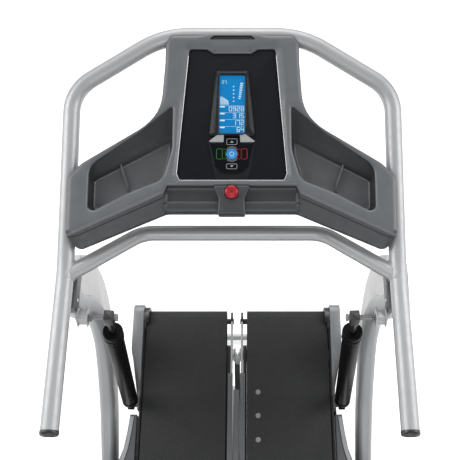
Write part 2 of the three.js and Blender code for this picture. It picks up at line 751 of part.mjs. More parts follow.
const SHELL_HALF = [
  [0, -402, 0], [142, -402, 30], [332, -483, 18], [354, -454, 18],
  [356, -324, 20], [326, -294, 40], [196, -213, 60], [160, -150, 60], [148, -24, 30], [150, 0, 6],
];
const TRAY_RIM = [
  [310, -408, 12], [222, -361, 60], [150, -332, 36], [131, -262, 60], [131, -162, 4],
  [200, -222, 60], [310, -300, 40],
];
const TRAY_DEPTH = 36;
const TRAY_CENTRE = { x: 220, y: -310 };
const TRAY_TAPER = 0.93;              // a tray's floor compared with its rim
const PANEL_HALF = [
  [0, -333, 0], [114, -333, 6], [120, -318, 6], [97, -27, 8], [57, -28, 10], [42, -38, 6],
];
const BEZEL = [[-37, -81, 5], [37, -81, 5], [50, -233, 6], [-50, -233, 6]];
const KEYPAD_HALF = [
  [0, -316, 0], [22, -315, 14], [37, -298, 14], [51, -246, 4], [18, -246, 2], [15, -236, 3],
];
const BUTTON = { y: -361, r: 14.6, well: -20 };

const shellOutline = () => anticlockwise(roundedOutline(symmetric(SHELL_HALF), 22));
const panelOutline = (margin) => inset(roundedOutline(symmetric(PANEL_HALF), 30), margin);

// Where the flat top of the shell ends and the sloping front fascia begins.
const fasciaTop = (x) => -364 - 0.47 * Math.max(0, Math.abs(x) - 150);
// Where a tray's sloping back wall meets its floor.
const trayCrease = (x) => -330 + 0.506 * (304 - x);

function shellBlock() {
  const low = shellOutline();
  const high = low.map(([x, y]) => [x, Math.max(y, fasciaTop(x))]);
  const buttonBlock = slabZ(
    roundedOutline([[-31, -412, 4], [31, -412, 4], [29, -338, 0], [-29, -338, 0]], 30),
    -SHELL_DEPTH, -1,
  );
  // A thin lip at the top edge hides the front of the handrail tube.
  const lip = slabZ(roundedOutline([[-148, -8, 0], [148, -8, 0], [148, 5.5, 7], [-148, 5.5, 7]], 30),
    -3, 0);
  return joined(slabZ(low, -SHELL_DEPTH, -22), loft(low, -22, high, 0), buttonBlock, lip);
}

function trayHollow(grow) {
  const rim = inset(anticlockwise(roundedOutline(TRAY_RIM, 24)), -grow);
  const { x: cx, y: cy } = TRAY_CENTRE;
  const floor = rim.map(([x, y]) => {
    const [fx, fy] = [cx + TRAY_TAPER * (x - cx), cy + TRAY_TAPER * (y - cy)];
    return [fx, Math.min(fy, trayCrease(fx) + grow)];
  });
  const right = loft(floor, -TRAY_DEPTH - grow, rim, 0.5);
  return right.add(solidOf(mirrored(geometryOf(right))));
}

function shellSolid(fatLoop) {
  const tubs = joined(trayHollow(3.5), slabZ(panelOutline(-5), -19, 0), slabZ(
    [[-24, -345], [-24, -385], [24, -385], [24, -345]], -30, 0,
  ));
  const inside = slabZ(inset(shellOutline(), 5), -60, -6).subtract(tubs);
  const low = shellOutline();
  const high = low.map(([x, y]) => [x, Math.max(y, fasciaTop(x) + 6)]);
  const hollow = inside.intersect(loft(low, -60, high, -4));
  const panelSeat = slabZ(panelOutline(0), -PANEL_DEPTH - 5, 5);
  const panelHole = slabZ(panelOutline(3), -60, 5);
  const buttonWell = discZ(BUTTON.r + 0.6, BUTTON.well, 5, 0, BUTTON.y, 24);
  return without(shellBlock(), hollow, trayHollow(0), panelSeat, panelHole, buttonWell, fatLoop);
}

function backCoverSolid(fatLoop) {
  const top = -SHELL_DEPTH - GAP;
  const plate = slabZ(inset(shellOutline(), 3), top - 6, top);
  const bulge = (margin, low) => slabZ(
    inset(roundedOutline([[-112, -345, 30], [112, -345, 30], [96, -40, 24], [-96, -40, 24]], 30), margin),
    low, top + (margin > 0 ? 5 : 0),
  );
  return without(plate.add(bulge(0, -86)), bulge(4, -82), fatLoop);
}

function bezelSolid() {
  const outline = roundedOutline(BEZEL, 30);
  const body = loft(anticlockwise(outline), -PANEL_DEPTH + GAP, inset(anticlockwise(outline), 2.5), 1);
  return body.subtract(box(-29, 29, -228, -91, -30, 30));
}

const KEYS = {
  up_key: { x: 0, y: -246, width: 25, height: 16 },
  down_key: { x: 0, y: -302, width: 25, height: 14 },
  start_key: { x: -27, y: -274, width: 15, height: 26 },
  stop_key: { x: 27, y: -274, width: 15, height: 26 },
};
const ENTER_KEY = { x: 0, y: -274, r: 12 };

function keySolid(key, grow, low, high) {
  const outline = roundedBox(key.width + 2 * grow, key.height + 2 * grow, 3);
  return slabZ(outline.map(([x, y]) => [x + key.x, y + key.y]), low, high);
}

function enterSolid(grow, low, high) {
  return discZ(ENTER_KEY.r + grow, low, high, ENTER_KEY.x, ENTER_KEY.y, 24);
}

function keypadSolid() {
  const plate = slabZ(roundedOutline(symmetric(KEYPAD_HALF), 30), -PANEL_DEPTH + GAP, -5);
  const holes = Object.values(KEYS).map((key) => keySolid(key, 0.5, -30, 30));
  return without(plate, enterSolid(0.5, -30, 30), ...holes);
}

function buttonSolid() {
  const cap = turned([
    [0, -13], [8, -13], [8, -4], [BUTTON.r, -4], [BUTTON.r, 5], [12.5, 8], [6, 6.5], [0, 6],
  ], 28);
  return solidOf(geometryOf(cap).translate(0, BUTTON.y, 0));
}

function buildConsole() {
  const toConsole = consoleGroup.matrixWorld.clone().invert();
  const fatLoop = solidOf(geometryOf(loopTube(HANDLE_R + GAP)).applyMatrix4(toConsole));
  add('console_shell', shellSolid(fatLoop), CONSOLE_GREY, consoleGroup);
  add('console_back_cover', backCoverSolid(fatLoop), CONSOLE_DARK, consoleGroup);
  const panel = slabZ(panelOutline(GAP), -PANEL_DEPTH - 5 + GAP, -PANEL_DEPTH);
  add('instrument_panel', panel, PANEL_BLACK, consoleGroup);
  add('screen_bezel', bezelSolid(), CONSOLE_DARK, consoleGroup);
  add('lcd_screen', box(-28.6, 28.6, -227.6, -91.4, -PANEL_DEPTH + GAP, -4), SCREEN_BLUE, consoleGroup);
  add('keypad_plate', keypadSolid(), GLOSS_BLACK, consoleGroup);
  Object.entries(KEYS).forEach(([name, key]) => {
    add(name, keySolid(key, 0, -7.7, -4.2), GLOSS_BLACK, consoleGroup);
  });
  add('enter_key', enterSolid(0, -7.7, -3.6), KEY_BLUE, consoleGroup);
  add('safety_stop_button', buttonSolid(), BUTTON_RED, consoleGroup);
}

// ---------------------------------------------------------------- assembly
buildHandrail();
buildLegs();
buildBase();
buildTreadles();
buildDrive();
buildCovers();
buildCylinders();
buildConsole();

export default model;
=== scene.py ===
"""Looks of the walking stair climber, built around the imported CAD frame.

Shapes are modelled in millimetres and turned into metres by the matrix that places them.
+X is the user's right, +Y points to the console, +Z is up, and the floor is at Z = 0.
"""
import json
import math

import bmesh
import bpy
from mathutils import Matrix, Vector

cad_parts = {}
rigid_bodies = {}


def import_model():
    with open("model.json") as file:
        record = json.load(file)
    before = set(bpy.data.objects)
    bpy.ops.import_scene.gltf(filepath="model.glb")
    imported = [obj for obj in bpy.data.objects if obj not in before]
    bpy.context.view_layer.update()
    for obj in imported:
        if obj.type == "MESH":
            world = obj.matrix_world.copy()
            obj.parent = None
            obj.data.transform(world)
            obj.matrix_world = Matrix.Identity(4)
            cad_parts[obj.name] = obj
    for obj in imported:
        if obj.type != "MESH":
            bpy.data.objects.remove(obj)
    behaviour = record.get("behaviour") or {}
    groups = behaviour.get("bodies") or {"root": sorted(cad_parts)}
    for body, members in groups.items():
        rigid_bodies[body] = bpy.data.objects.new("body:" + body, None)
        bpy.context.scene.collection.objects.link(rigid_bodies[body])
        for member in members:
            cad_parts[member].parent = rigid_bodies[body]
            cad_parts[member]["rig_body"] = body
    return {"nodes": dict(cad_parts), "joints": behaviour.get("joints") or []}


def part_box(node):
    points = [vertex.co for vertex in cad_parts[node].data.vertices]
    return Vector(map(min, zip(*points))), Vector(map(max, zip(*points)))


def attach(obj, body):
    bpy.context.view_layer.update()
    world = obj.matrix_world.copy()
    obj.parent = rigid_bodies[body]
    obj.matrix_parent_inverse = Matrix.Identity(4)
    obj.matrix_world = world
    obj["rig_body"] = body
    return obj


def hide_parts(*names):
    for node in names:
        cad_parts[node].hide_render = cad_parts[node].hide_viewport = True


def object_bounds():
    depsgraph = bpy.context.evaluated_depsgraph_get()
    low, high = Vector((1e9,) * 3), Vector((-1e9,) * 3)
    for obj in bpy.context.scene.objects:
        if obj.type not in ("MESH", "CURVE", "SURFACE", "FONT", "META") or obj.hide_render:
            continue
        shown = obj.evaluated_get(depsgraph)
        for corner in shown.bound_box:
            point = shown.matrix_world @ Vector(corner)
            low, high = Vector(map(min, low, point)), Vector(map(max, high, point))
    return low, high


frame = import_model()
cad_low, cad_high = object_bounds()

MM = 0.001
TAU = 2 * math.pi
SIDES = (("right", 1), ("left", -1))

# ---- places read from the frame
JOINTS = {joint["name"]: joint for joint in frame["joints"]}


def joint_at(name):
    """A joint's point in millimetres."""
    return Vector(JOINTS[name]["pos_m"]) / MM


def box_of(node):
    """A CAD node's lowest corner and middle in millimetres."""
    low, high = (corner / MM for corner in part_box(node))
    return low, (low + high) / 2


HINGE = joint_at("right_treadle_hinge")
ROLLER = joint_at("right_front_roller_spin")
TREADLE_LENGTH = (ROLLER - HINGE).length
TREADLE_SLOPE = math.atan2(ROLLER.z - HINGE.z, ROLLER.y - HINGE.y)
UPPER_PIN = joint_at("right_rod_pivot")
LOWER_PIN = Vector((299, 74, 327))             # the middle of the damper's lower eye
CYLINDER_AXIS = Vector(JOINTS["right_cylinder_stroke"]["axis"])
ROCKER_PIN = joint_at("rocker_pivot")
CONSOLE_NORMAL = -Vector(JOINTS["enter_key_press"]["axis"])
CONSOLE_TURN = Matrix.Rotation(math.atan2(-CONSOLE_NORMAL.y, CONSOLE_NORMAL.z), 4, "X")
ENTER_MIDDLE = Vector((0, -274, -5.65))        # the enter key's middle in the console's own plane
CONSOLE_AT = box_of("enter_key")[1] - CONSOLE_TURN @ ENTER_MIDDLE

OBJECT = Matrix.Scale(MM, 4)
TREADLE = (OBJECT @ Matrix.Translation((0, HINGE.y, HINGE.z))
           @ Matrix.Rotation(TREADLE_SLOPE, 4, "X"))
CONSOLE = OBJECT @ Matrix.Translation(CONSOLE_AT) @ CONSOLE_TURN
CYLINDER = (OBJECT @ Matrix.Translation(UPPER_PIN)
            @ Vector((0, 0, -1)).rotation_difference(CYLINDER_AXIS).to_matrix().to_4x4())

# ---- materials
VALUE_SOCKETS = {"roughness": "Roughness", "metallic": "Metallic", "coat": "Coat Weight",
                 "coat_roughness": "Coat Roughness", "specular": "Specular IOR Level"}


class Finish:
    """A procedural material: a Principled shader with grain, mottling and bump nodes."""

    def __init__(self, name, color, **values):
        self.material = bpy.data.materials.new(name)
        self.material.use_nodes = True
        self.tree = self.material.node_tree
        self.shader = self.tree.nodes["Principled BSDF"].inputs
        self.color = color
        self.shader["Base Color"].default_value = (*color, 1)
        for key, value in values.items():
            self.shader[VALUE_SOCKETS[key]].default_value = value
        self.place = self.node("TexCoord", "Object", {})
        self.bumped = {}

    def node(self, kind, output, inputs, **settings):
        """The output of a new node. Each input is a value or another node's output."""
        made = self.tree.nodes.new(f"ShaderNode{kind}")
        for key, value in settings.items():
            setattr(made, key, value)
        for key, value in inputs.items():
            if isinstance(value, bpy.types.NodeSocket):
                self.tree.links.new(value, made.inputs[key])
            else:
                made.inputs[key].default_value = value
        return made.outputs[output]

    def stretched(self, scale):
        return self.node("Mapping", "Vector", {"Scale": scale, "Vector": self.place})

    def noise(self, scale, detail, place=None):
        place = place or self.place
        return self.node("TexNoise", "Fac", {"Scale": scale, "Detail": detail, "Vector": place})

    def spread(self, source, low, high):
        """The middle of the source's range, stretched to run from low to high."""
        return self.node("MapRange", "Result", {"Value": source, "From Min": 0.3, "From Max": 0.7,
                                                "To Min": low, "To Max": high})

    def mottle(self, source, amount):
        """The colour gets lighter and darker by a share of itself."""
        dark = (*(channel * (1 - amount) for channel in self.color), 1)
        light = (*(min(1, channel * (1 + amount)) for channel in self.color), 1)
        inputs = {"A": dark, "B": light, "Factor": self.spread(source, 0, 1)}
        mixed = self.node("Mix", "Result", inputs, data_type="RGBA")
        self.tree.links.new(mixed, self.shader["Base Color"])
        return self

    def rough(self, source, low, high):
        self.tree.links.new(self.spread(source, low, high), self.shader["Roughness"])

    def bump(self, source, height, strength=1.0):
        """A bump on top of the ones before it."""
        inputs = {"Distance": height, "Strength": strength, "Height": source, **self.bumped}
        self.bumped = {"Normal": self.node("Bump", "Normal", inputs)}
        self.tree.links.new(self.bumped["Normal"], self.shader["Normal"])

    def glow(self, color, strength):
        self.shader["Emission Color"].default_value = (*color, 1)
        self.shader["Emission Strength"].default_value = strength


def grained(name, color, mottle, rough, bump, **values):
    """A finish with three noises, each given as its scale, its detail and then:

    mottle the colour's share, rough how far the roughness goes down and up, bump the height.
    """
    made = Finish(name, color, **values)
    made.mottle(made.noise(*mottle[:2]), mottle[2])
    roughness = values["roughness"]
    made.rough(made.noise(*rough[:2]), roughness - rough[2], roughness + rough[3])
    if bump:
        made.bump(made.noise(*bump[:2]), bump[2])
    return made


def metallic_paint(name, color, roughness):
    """Sprayed metallic lacquer: fine flake sparkle under a thin clear coat."""
    return grained(name, color, (2600, 2, 0.05), (60, 4, 0.05, 0.06), (900, 2, 0.00004),
                   roughness=roughness, metallic=0.3, coat=0.12, coat_roughness=0.3)


def solid_paint(name, color, roughness):
    """Powder coat with a slight orange peel."""
    return grained(name, color, (40, 4, 0.06), (120, 3, 0.06, 0.08), (520, 3, 0.00012),
                   roughness=roughness, metallic=0.25)


def moulded(name, color, roughness, grain=0.00012, specular=0.35):
    """Injection-moulded plastic with a spark-eroded grain."""
    return grained(name, color, (35, 4, 0.05), (90, 3, 0.06, 0.07), (1500, 2, grain),
                   roughness=roughness, specular=specular)


def glossy(name, color, roughness, coat, specular=0.35):
    """Polished plastic or lacquer."""
    return grained(name, color, (30, 3, 0.05), (70, 4, 0, 0.07), None,
                   roughness=roughness, specular=specular, coat=coat, coat_roughness=0.06)


def plain_rubber(name, color, roughness=0.7):
    return grained(name, color, (80, 4, 0.12), (140, 3, 0.1, 0.1), (1100, 2, 0.0001),
                   roughness=roughness)


def machined(name, color, roughness):
    """Bare steel with fine turning marks."""
    steel = Finish(name, color, metallic=1.0, roughness=roughness)
    marks = steel.noise(300, 3, steel.stretched((14, 1, 1)))
    steel.mottle(marks, 0.1)
    steel.rough(marks, roughness - 0.08, roughness + 0.12)
    steel.bump(marks, 0.00005)
    return steel


def woven_rubber(name, color):
    """The walking belt: a fine pebbled top layer with a dusty sheen."""
    rubber = Finish(name, color, roughness=0.72, specular=0.35)
    rubber.mottle(rubber.noise(26, 5), 0.12)
    rubber.rough(rubber.noise(300, 2), 0.62, 0.82)
    pebbles = rubber.node("TexVoronoi", "Distance", {"Scale": 620, "Vector": rubber.place})
    rubber.bump(pebbles, 0.0003)
    rubber.bump(rubber.noise(90, 2), 0.0002, 0.4)
    return rubber


def faced_board(name, color):
    """Phenolic-faced deck board."""
    board = Finish(name, color, roughness=0.5)
    streaks = board.noise(60, 4, board.stretched((1, 0.1, 1)))
    board.mottle(streaks, 0.25)
    board.bump(streaks, 0.0001)
    return board


def lit(name, color, strength, roughness=0.3):
    """A glowing surface with the fine lines of a display: backlit on the display, a painted glow on
    printed ink.
    """
    lamp = Finish(name, color, roughness=roughness, specular=0.15)
    lamp.bump(lamp.node("TexWave", "Fac", {"Scale": 700, "Vector": lamp.place}), 0.00003, 0.4)
    lamp.mottle(lamp.noise(120, 2), 0.06).glow(color, strength)
    return lamp


SILVER = metallic_paint("silver_lacquer", (0.27, 0.273, 0.278), 0.4)
LEG_GREY = metallic_paint("grey_lacquer", (0.24, 0.245, 0.25), 0.45)
# Silver trim round the panel, made extra bright as a painted highlight along the recess's edge.
SILVER_TRIM_HIGHLIGHT = metallic_paint("silver_trim_painted_highlight", (0.5, 0.505, 0.52), 0.3)
BASE_BLACK = solid_paint("black_powder_coat", (0.012, 0.0125, 0.0135), 0.45)
TREADLE_GREY = solid_paint("treadle_paint", (0.15, 0.153, 0.158), 0.42)
FAIRING = moulded("pale_plastic", (0.56, 0.56, 0.56), 0.55)
COVER_GREY = moulded("grey_plastic", (0.06, 0.062, 0.065), 0.5)
SHELL_GREY = moulded("console_grey", (0.078, 0.083, 0.089), 0.36, 0.00006)
SHELL_DARK = moulded("console_charcoal", (0.026, 0.0275, 0.0295), 0.42)
# The trays are moulded in the shell's grey plastic; these two darker copies are painted shade, with the
# walls darker than the floor.
TRAY_WALL_SHADE = moulded("tray_wall_painted_shade", (0.016, 0.0172, 0.019), 0.4, specular=0.25)
TRAY_FLOOR_SHADE = moulded("tray_floor_painted_shade", (0.05, 0.053, 0.057), 0.36)
BACK_DARK = moulded("back_plastic", (0.018, 0.019, 0.021), 0.5)
PANEL_BLACK = moulded("panel_black", (0.0042, 0.0052, 0.0068), 0.55, 0.00008, 0.08)
TONGUE_DARK = moulded("tongue_plastic", (0.006, 0.0065, 0.0075), 0.45, 0.00008, 0.15)
BEZEL_DARK = moulded("bezel_plastic", (0.007, 0.0075, 0.0085), 0.38, 0.00005, 0.15)
GLOSS_BLACK = glossy("gloss_black", (0.0012, 0.0016, 0.003), 0.1, 0.04, 0.15)
CYLINDER_BLACK = glossy("cylinder_black", (0.002, 0.002, 0.0024), 0.36, 0.0, 0.07)
RED = glossy("red_plastic", (0.22, 0.002, 0.009), 0.26, 0.2)
STEEL = machined("bare_steel", (0.5, 0.5, 0.51), 0.3)
PIN_STEEL = machined("dull_steel", (0.16, 0.16, 0.165), 0.45)
BELT = woven_rubber("belt_rubber", (0.0075, 0.0079, 0.0084))
RUBBER = plain_rubber("black_rubber", (0.007, 0.007, 0.007))
CAP_BLACK = plain_rubber("black_cap", (0.0045, 0.0045, 0.005), 0.38)
DOT_GREY = plain_rubber("dot_grey", (0.13, 0.13, 0.13), 0.6)
DECK_BOARD = faced_board("deck_board", (0.05, 0.03, 0.018))
KEY_BLUE = lit("key_blue", (0.016, 0.12, 0.28), 0.5, 0.2)
SCREEN_BLUE = lit("screen_blue", (0.002, 0.088, 0.22), 0.8, 0.2)
DIGIT_WHITE = lit("digit_white", (0.3, 0.4, 0.45), 0.6)
# Printed ink that glows a little: a painted glow that brightens the print.
GLOWING_PRINT_WHITE = lit("print_white_painted_glow", (0.2, 0.21, 0.22), 0.1)
GLOWING_PRINT_GREEN = lit("print_green_painted_glow", (0.006, 0.12, 0.014), 0.2)
GLOWING_PRINT_RED = lit("print_red", (0.22, 0.004, 0.008), 0.2)


# ---- shapes
class Shape:
    """Points and faces, each face with the number of its material."""

    def __init__(self, points=(), faces=(), marks=None):
        self.points = [Vector(point) for point in points]
        self.faces = [tuple(face) for face in faces]
        self.marks = list(marks) if marks else [0] * len(self.faces)

    def __add__(self, other):
        count = len(self.points)
        moved = [tuple(i + count for i in face) for face in other.faces]
        return Shape(self.points + other.points, self.faces + moved, self.marks + other.marks)

    def moved(self, matrix):
        return Shape([matrix @ point for point in self.points], self.faces, self.marks)

    def mirrored(self):
        return Shape(mirror_line(self.points), [face[::-1] for face in self.faces], self.marks)


def mirror_line(points):
    return [Vector((-point.x, point.y, point.z)) for point in points]


def shift(x=0, y=0, z=0):
    return Matrix.Translation((x, y, z))


def corner_arc(before, at, after, radius, step):
    """Points that round the corner at, step degrees apart."""
    into = (at - before).normalized()
    out = (after - at).normalized()
    turn = into.angle(out, 0)
    if turn < 1e-4:
        return [at]
    start = at - into * radius * math.tan(turn / 2)
    side = (out - into * into.dot(out)).normalized()
    count = max(2, math.ceil(math.degrees(turn) / step))
    angles = [turn * i / count for i in range(count + 1)]
    return [start + into * radius * math.sin(a) + side * radius * (1 - math.cos(a)) for a in angles]


def route(corners, step=4):
    """An open line through corners (point, bend radius)."""
    points = [corners[0][0]]
    for (before, _), (at, radius), (after, _) in zip(corners, corners[1:], corners[2:]):
        points += corner_arc(before, at, after, radius, step)
    return points + [corners[-1][0]]


def outline(entries, step=8):
    """A closed flat outline with rounded corners; entries are (x, y, radius). It runs anticlockwise."""
    flat = [Vector((x, y, 0)) for x, y, _ in entries]
    points = []
    for i, (at, (_, _, radius)) in enumerate(zip(flat, entries)):
        after = flat[(i + 1) % len(flat)]
        points += corner_arc(flat[i - 1], at, after, radius, step) if radius else [at]
    points = [(point.x, point.y) for point in points]
    return anticlockwise([p for i, p in enumerate(points) if math.dist(p, points[i - 1]) > 0.05])


def edges_of(points):
    """A closed outline's edges, as pairs of points."""
    return list(zip(points, points[1:] + points[:1]))


def anticlockwise(points):
    area = sum(x0 * y1 - x1 * y0 for (x0, y0), (x1, y1) in edges_of(points)) / 2
    return points if area > 0 else points[::-1]


def symmetric(half):
    """Half an outline (x, y, radius) joined to its mirror image."""
    return half + [(-x, y, radius) for x, y, radius in reversed(half) if x > 0]


def divided(points, longest):
    """The outline with its long edges divided."""
    finer = []
    for (x0, y0), (x1, y1) in edges_of(points):
        count = max(1, math.ceil(math.dist((x0, y0), (x1, y1)) / longest))
        finer += [(x0 + (x1 - x0) * i / count, y0 + (y1 - y0) * i / count) for i in range(count)]
    return finer


def inset(points, distance):
    """The anticlockwise outline moved inward, or outward where distance is negative.

    The distance is one number, or a list with one number for each point.
    """
    distances = distance if isinstance(distance, list) else [distance] * len(points)
    moved = []
    for i, ((x, y), distance) in enumerate(zip(points, distances)):
        (bx, by), (ax, ay) = points[i - 1], points[(i + 1) % len(points)]
        into = Vector((x - bx, y - by)).normalized()
        out = Vector((ax - x, ay - y)).normalized()
        normal = Vector((-into.y - out.y, into.x + out.x)).normalized()
        stretch = 1 / max(0.5, normal.dot(Vector((-into.y, into.x))))
        moved.append((x + normal.x * distance * stretch, y + normal.y * distance * stretch))
    return moved


def lifted(points, z):
    """Flat points at a height."""
    return [Vector((x, y, z)) for x, y in points]


def stepped(points, profile):
    """Rings that follow an outline; the profile gives each one's inset and height."""
    return [lifted(inset(points, inward), z) for inward, z in profile]


def circle(radius, count=40, x=0, y=0):
    return [(x + radius * math.cos(TAU * i / count), y + radius * math.sin(TAU * i / count))
            for i in range(count)]


def box_outline(width, height, radius, x=0, y=0, step=15):
    w, h = width / 2, height / 2
    return outline([(x - w, y - h, radius), (x + w, y - h, radius),
                    (x + w, y + h, radius), (x - w, y + h, radius)], step)


def skin(rings, loop=False, caps=True, marks=None):
    """A surface through rings of equal count. marks gives each band's material number."""
    count = len(rings[0])
    points = [point for ring in rings for point in ring]
    faces, face_marks = [], []
    for band in range(len(rings) if loop else len(rings) - 1):
        low, high = band * count, (band + 1) % len(rings) * count
        for i in range(count):
            j = (i + 1) % count
            faces.append((low + i, low + j, high + j, high + i))
            face_marks.append(marks[band] if marks else 0)
    if caps and not loop:
        faces.append(tuple(range(count))[::-1])
        faces.append(tuple((len(rings) - 1) * count + i for i in range(count)))
        face_marks += [0, 0]
    return Shape(points, faces, face_marks)


def swept(stations, section, loop=False):
    """A flat section carried along a line, without twisting."""
    count = len(stations)
    normal = None
    rings = []
    for i, at in enumerate(stations):
        before = stations[i - 1] if loop or i else at
        after = stations[(i + 1) % count] if loop or i < count - 1 else at
        tangent = (after - before).normalized()
        if normal is None:
            guide = Vector((1, 0, 0)) if abs(tangent.x) < 0.8 else Vector((0, 0, 1))
            normal = tangent.cross(guide)
        normal = (normal - tangent * normal.dot(tangent)).normalized()
        side = tangent.cross(normal)
        into = (at - before).normalized() if at != before else tangent
        stretch = 1 / max(0.7, tangent.dot(into))
        rings.append([at + side * x * stretch + normal * y for x, y in section])
    return skin(rings, loop)


def tube(stations, radius, sides=36, loop=False):
    return swept(stations, circle(radius, sides), loop)


def smooth_line(points, steps=6):
    """A Catmull-Rom curve through the points."""
    ends = [2 * points[0] - points[1], *points, 2 * points[-1] - points[-2]]
    curve = []
    for a, b, c, d in zip(ends, ends[1:], ends[2:], ends[3:]):
        for i in range(steps):
            t = i / steps
            curve.append(0.5 * (2 * b + (c - a) * t + (2 * a - 5 * b + 4 * c - d) * t * t
                                + (3 * b - a - 3 * c + d) * t ** 3))
    return curve + [points[-1]]


def turned(profile, sides=56):
    """A piece turned about Z, from a profile of (radius, z) that starts and ends on the axis."""
    start, *middle, end = profile
    shape = skin([lifted(circle(r, sides), z) for r, z in middle], caps=False)
    first = len(shape.points)
    top = first - sides
    shape.points += [Vector((0, 0, start[1])), Vector((0, 0, end[1]))]
    for i in range(sides):
        j = (i + 1) % sides
        shape.faces += [(first, j, i), (first + 1, top + i, top + j)]
        shape.marks += [0, 0]
    return shape


def ring_turned(profile, sides=56):
    """A ring turned about Z, from a closed profile of (radius, z)."""
    rings = [[Vector((r * x, r * y, z)) for r, z in profile] for x, y in circle(1, sides)]
    return skin(rings, loop=True)


def slab(points, low, high, edge=1.0, steps=3):
    """A plate with rounded edges; the outline is in (x, y) and the thickness along z."""
    angles = [math.pi / 2 * i / steps for i in range(steps + 1)]
    profile = [(edge * (1 - math.sin(a)), low + edge * (1 - math.cos(a))) for a in angles]
    profile += [(inward, low + high - z) for inward, z in reversed(profile)]
    return skin(stepped(points, profile))


# Matrices that stand a slab on its side: its outline in (y, z), or in (x, z).
ACROSS = Matrix(((0, 0, 1, 0), (1, 0, 0, 0), (0, 1, 0, 0), (0, 0, 0, 1)))
ALONG = Matrix(((1, 0, 0, 0), (0, 0, -1, 0), (0, 1, 0, 0), (0, 0, 0, 1)))
QUARTER_TURN = Matrix.Rotation(math.pi / 2, 4, "Y")


def slab_x(points, low, high, edge=1.0):
    return slab(points, low, high, edge).moved(ACROSS)


def bar(x0, x1, y0, y1, z0, z1, edge=1.5):
    """A rectangular bar with rounded edges and corners."""
    points = box_outline(x1 - x0, y1 - y0, edge, (x0 + x1) / 2, (y0 + y1) / 2)
    return slab(points, z0, z1, edge)


def block_x(x0, x1, at, half, edge):
    """A square bar along X around a point."""
    return bar(x0, x1, at.y - half, at.y + half, at.z - half, at.z + half, edge)


def disc_x(radius, low, high, y=0, z=0, edge=1.0, sides=48):
    return slab_x(circle(radius, sides, y, z), low, high, edge)


def edge_strip(points, width, low, high):
    """A thin strip that follows a closed outline on its inside."""
    inner = inset(points, width)
    corners = ((points, low), (points, high), (inner, high), (inner, low))
    return skin([lifted(ring, z) for ring, z in corners], loop=True)


# ---- pieces
WELD = 0.00002                        # points nearer than this, in metres, become one


def added(name, data):
    made = bpy.data.objects.new(name, data)
    bpy.context.scene.collection.objects.link(made)
    return made


def shaded(mesh, degrees, weld=False):
    """Smooth shading, with edges sharper than the angle kept sharp."""
    shaped = bmesh.new()
    shaped.from_mesh(mesh)
    if weld:
        bmesh.ops.remove_doubles(shaped, verts=shaped.verts, dist=WELD)
    bmesh.ops.recalc_face_normals(shaped, faces=shaped.faces)
    for face in shaped.faces:
        face.smooth = True
    for edge in shaped.edges:
        edge.smooth = edge.calc_face_angle(0) < math.radians(degrees)
    shaped.to_mesh(mesh)
    shaped.free()


def settled(name, mesh, body, node):
    """The mesh as an object that rides on a body and, where node is given, stands for that node."""
    made = added(name, mesh)
    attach(made, body)
    if node:
        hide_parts(node)


def piece(name, shape, finishes, body="frame", place=OBJECT, node=None, smooth=38, weld=False):
    """A finished piece. finishes is one material, or a list that the shape's marks point into."""
    mesh = bpy.data.meshes.new(name)
    mesh.from_pydata([place @ point for point in shape.points], [], shape.faces)
    for finish in finishes if isinstance(finishes, list) else [finishes]:
        mesh.materials.append(finish.material)
    mesh.polygons.foreach_set("material_index", shape.marks)
    shaded(mesh, smooth, weld)
    settled(name, mesh, body, node)


def pair(name, shape, finishes, body="frame", place=OBJECT, node=None, smooth=38):
    """The same piece on the right and, mirrored, on the left. A {} in body or node is the side."""
    for side, sign in SIDES:
        placed = shape.moved(place)
        piece(f"{side}_{name}", placed if sign > 0 else placed.mirrored(), finishes,
              body.format(side), Matrix.Identity(4), node and node.format(side), smooth)


def dressed(node, finish, edge, corner=30):
    """A CAD node's own shape, its flat faces cleaned and its edges rounded."""
    name = f"{node}_finished"
    shaped = bmesh.new()
    shaped.from_mesh(frame["nodes"][node].data)
    bmesh.ops.remove_doubles(shaped, verts=shaped.verts, dist=WELD)
    bmesh.ops.dissolve_limit(shaped, angle_limit=math.radians(0.6), verts=shaped.verts,
                             edges=shaped.edges)
    sharp = [e for e in shaped.edges
             if e.calc_face_angle(0) > math.radians(corner) and e.calc_length() > 3.2 * edge * MM]
    bmesh.ops.bevel(shaped, geom=sharp, offset=edge * MM, segments=2, profile=0.6, affect="EDGES",
                    clamp_overlap=True)
    mesh = bpy.data.meshes.new(name)
    shaped.to_mesh(mesh)
    shaped.free()
    mesh.materials.clear()
    mesh.materials.append(finish.material)
    mesh.polygons.foreach_set("material_index", [0] * len(mesh.polygons))
    shaded(mesh, 32)
    settled(name, mesh, frame["nodes"][node]["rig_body"], node)


# ---- handrail
TUBE_R = 19
HANDLE_X = 360
ELBOW = Vector((HANDLE_X, 10, 982))
REAR_SLOPE = math.radians(21.2)
LOOP_SLOPE = math.radians(34.7)
HANDLE_END_Y = -305
LOOP_CORNER = (360, 345)
LOOP_TOP = (157, 451.5)
CROSS_R = 17.6
CROSS_END = Vector((356, 1, 978.5))
CROSS_BEND = Vector((205, 130, 975))


def loop_slope(y):
    """The handrail's slope. At the elbow it is halfway between the two."""
    if abs(y - ELBOW.y) < 1:
        return (REAR_SLOPE + LOOP_SLOPE) / 2
    return REAR_SLOPE if y < ELBOW.y else LOOP_SLOPE


def on_loop(x, y):
    return Vector((x, y, ELBOW.z + (y - ELBOW.y) * math.tan(loop_slope(y))))


def below_loop(y, distance):
    """A point (y, z) at a distance below the handrail's middle line."""
    slope = loop_slope(y)
    return (y + distance * math.sin(slope), on_loop(0, y).z - distance * math.cos(slope))


def both_halves(half):
    """Corners (point, bend radius) of the right half, joined to their mirror image."""
    points = mirror_line([at for at, _ in half])
    return half + [(at, bend) for at, (_, bend) in zip(points, half)][::-1]


def loop_stations():
    return route(both_halves([(on_loop(HANDLE_X, HANDLE_END_Y), 0), (on_loop(HANDLE_X, ELBOW.y), 300),
                              (on_loop(*LOOP_CORNER), 90), (on_loop(*LOOP_TOP), 200)]))


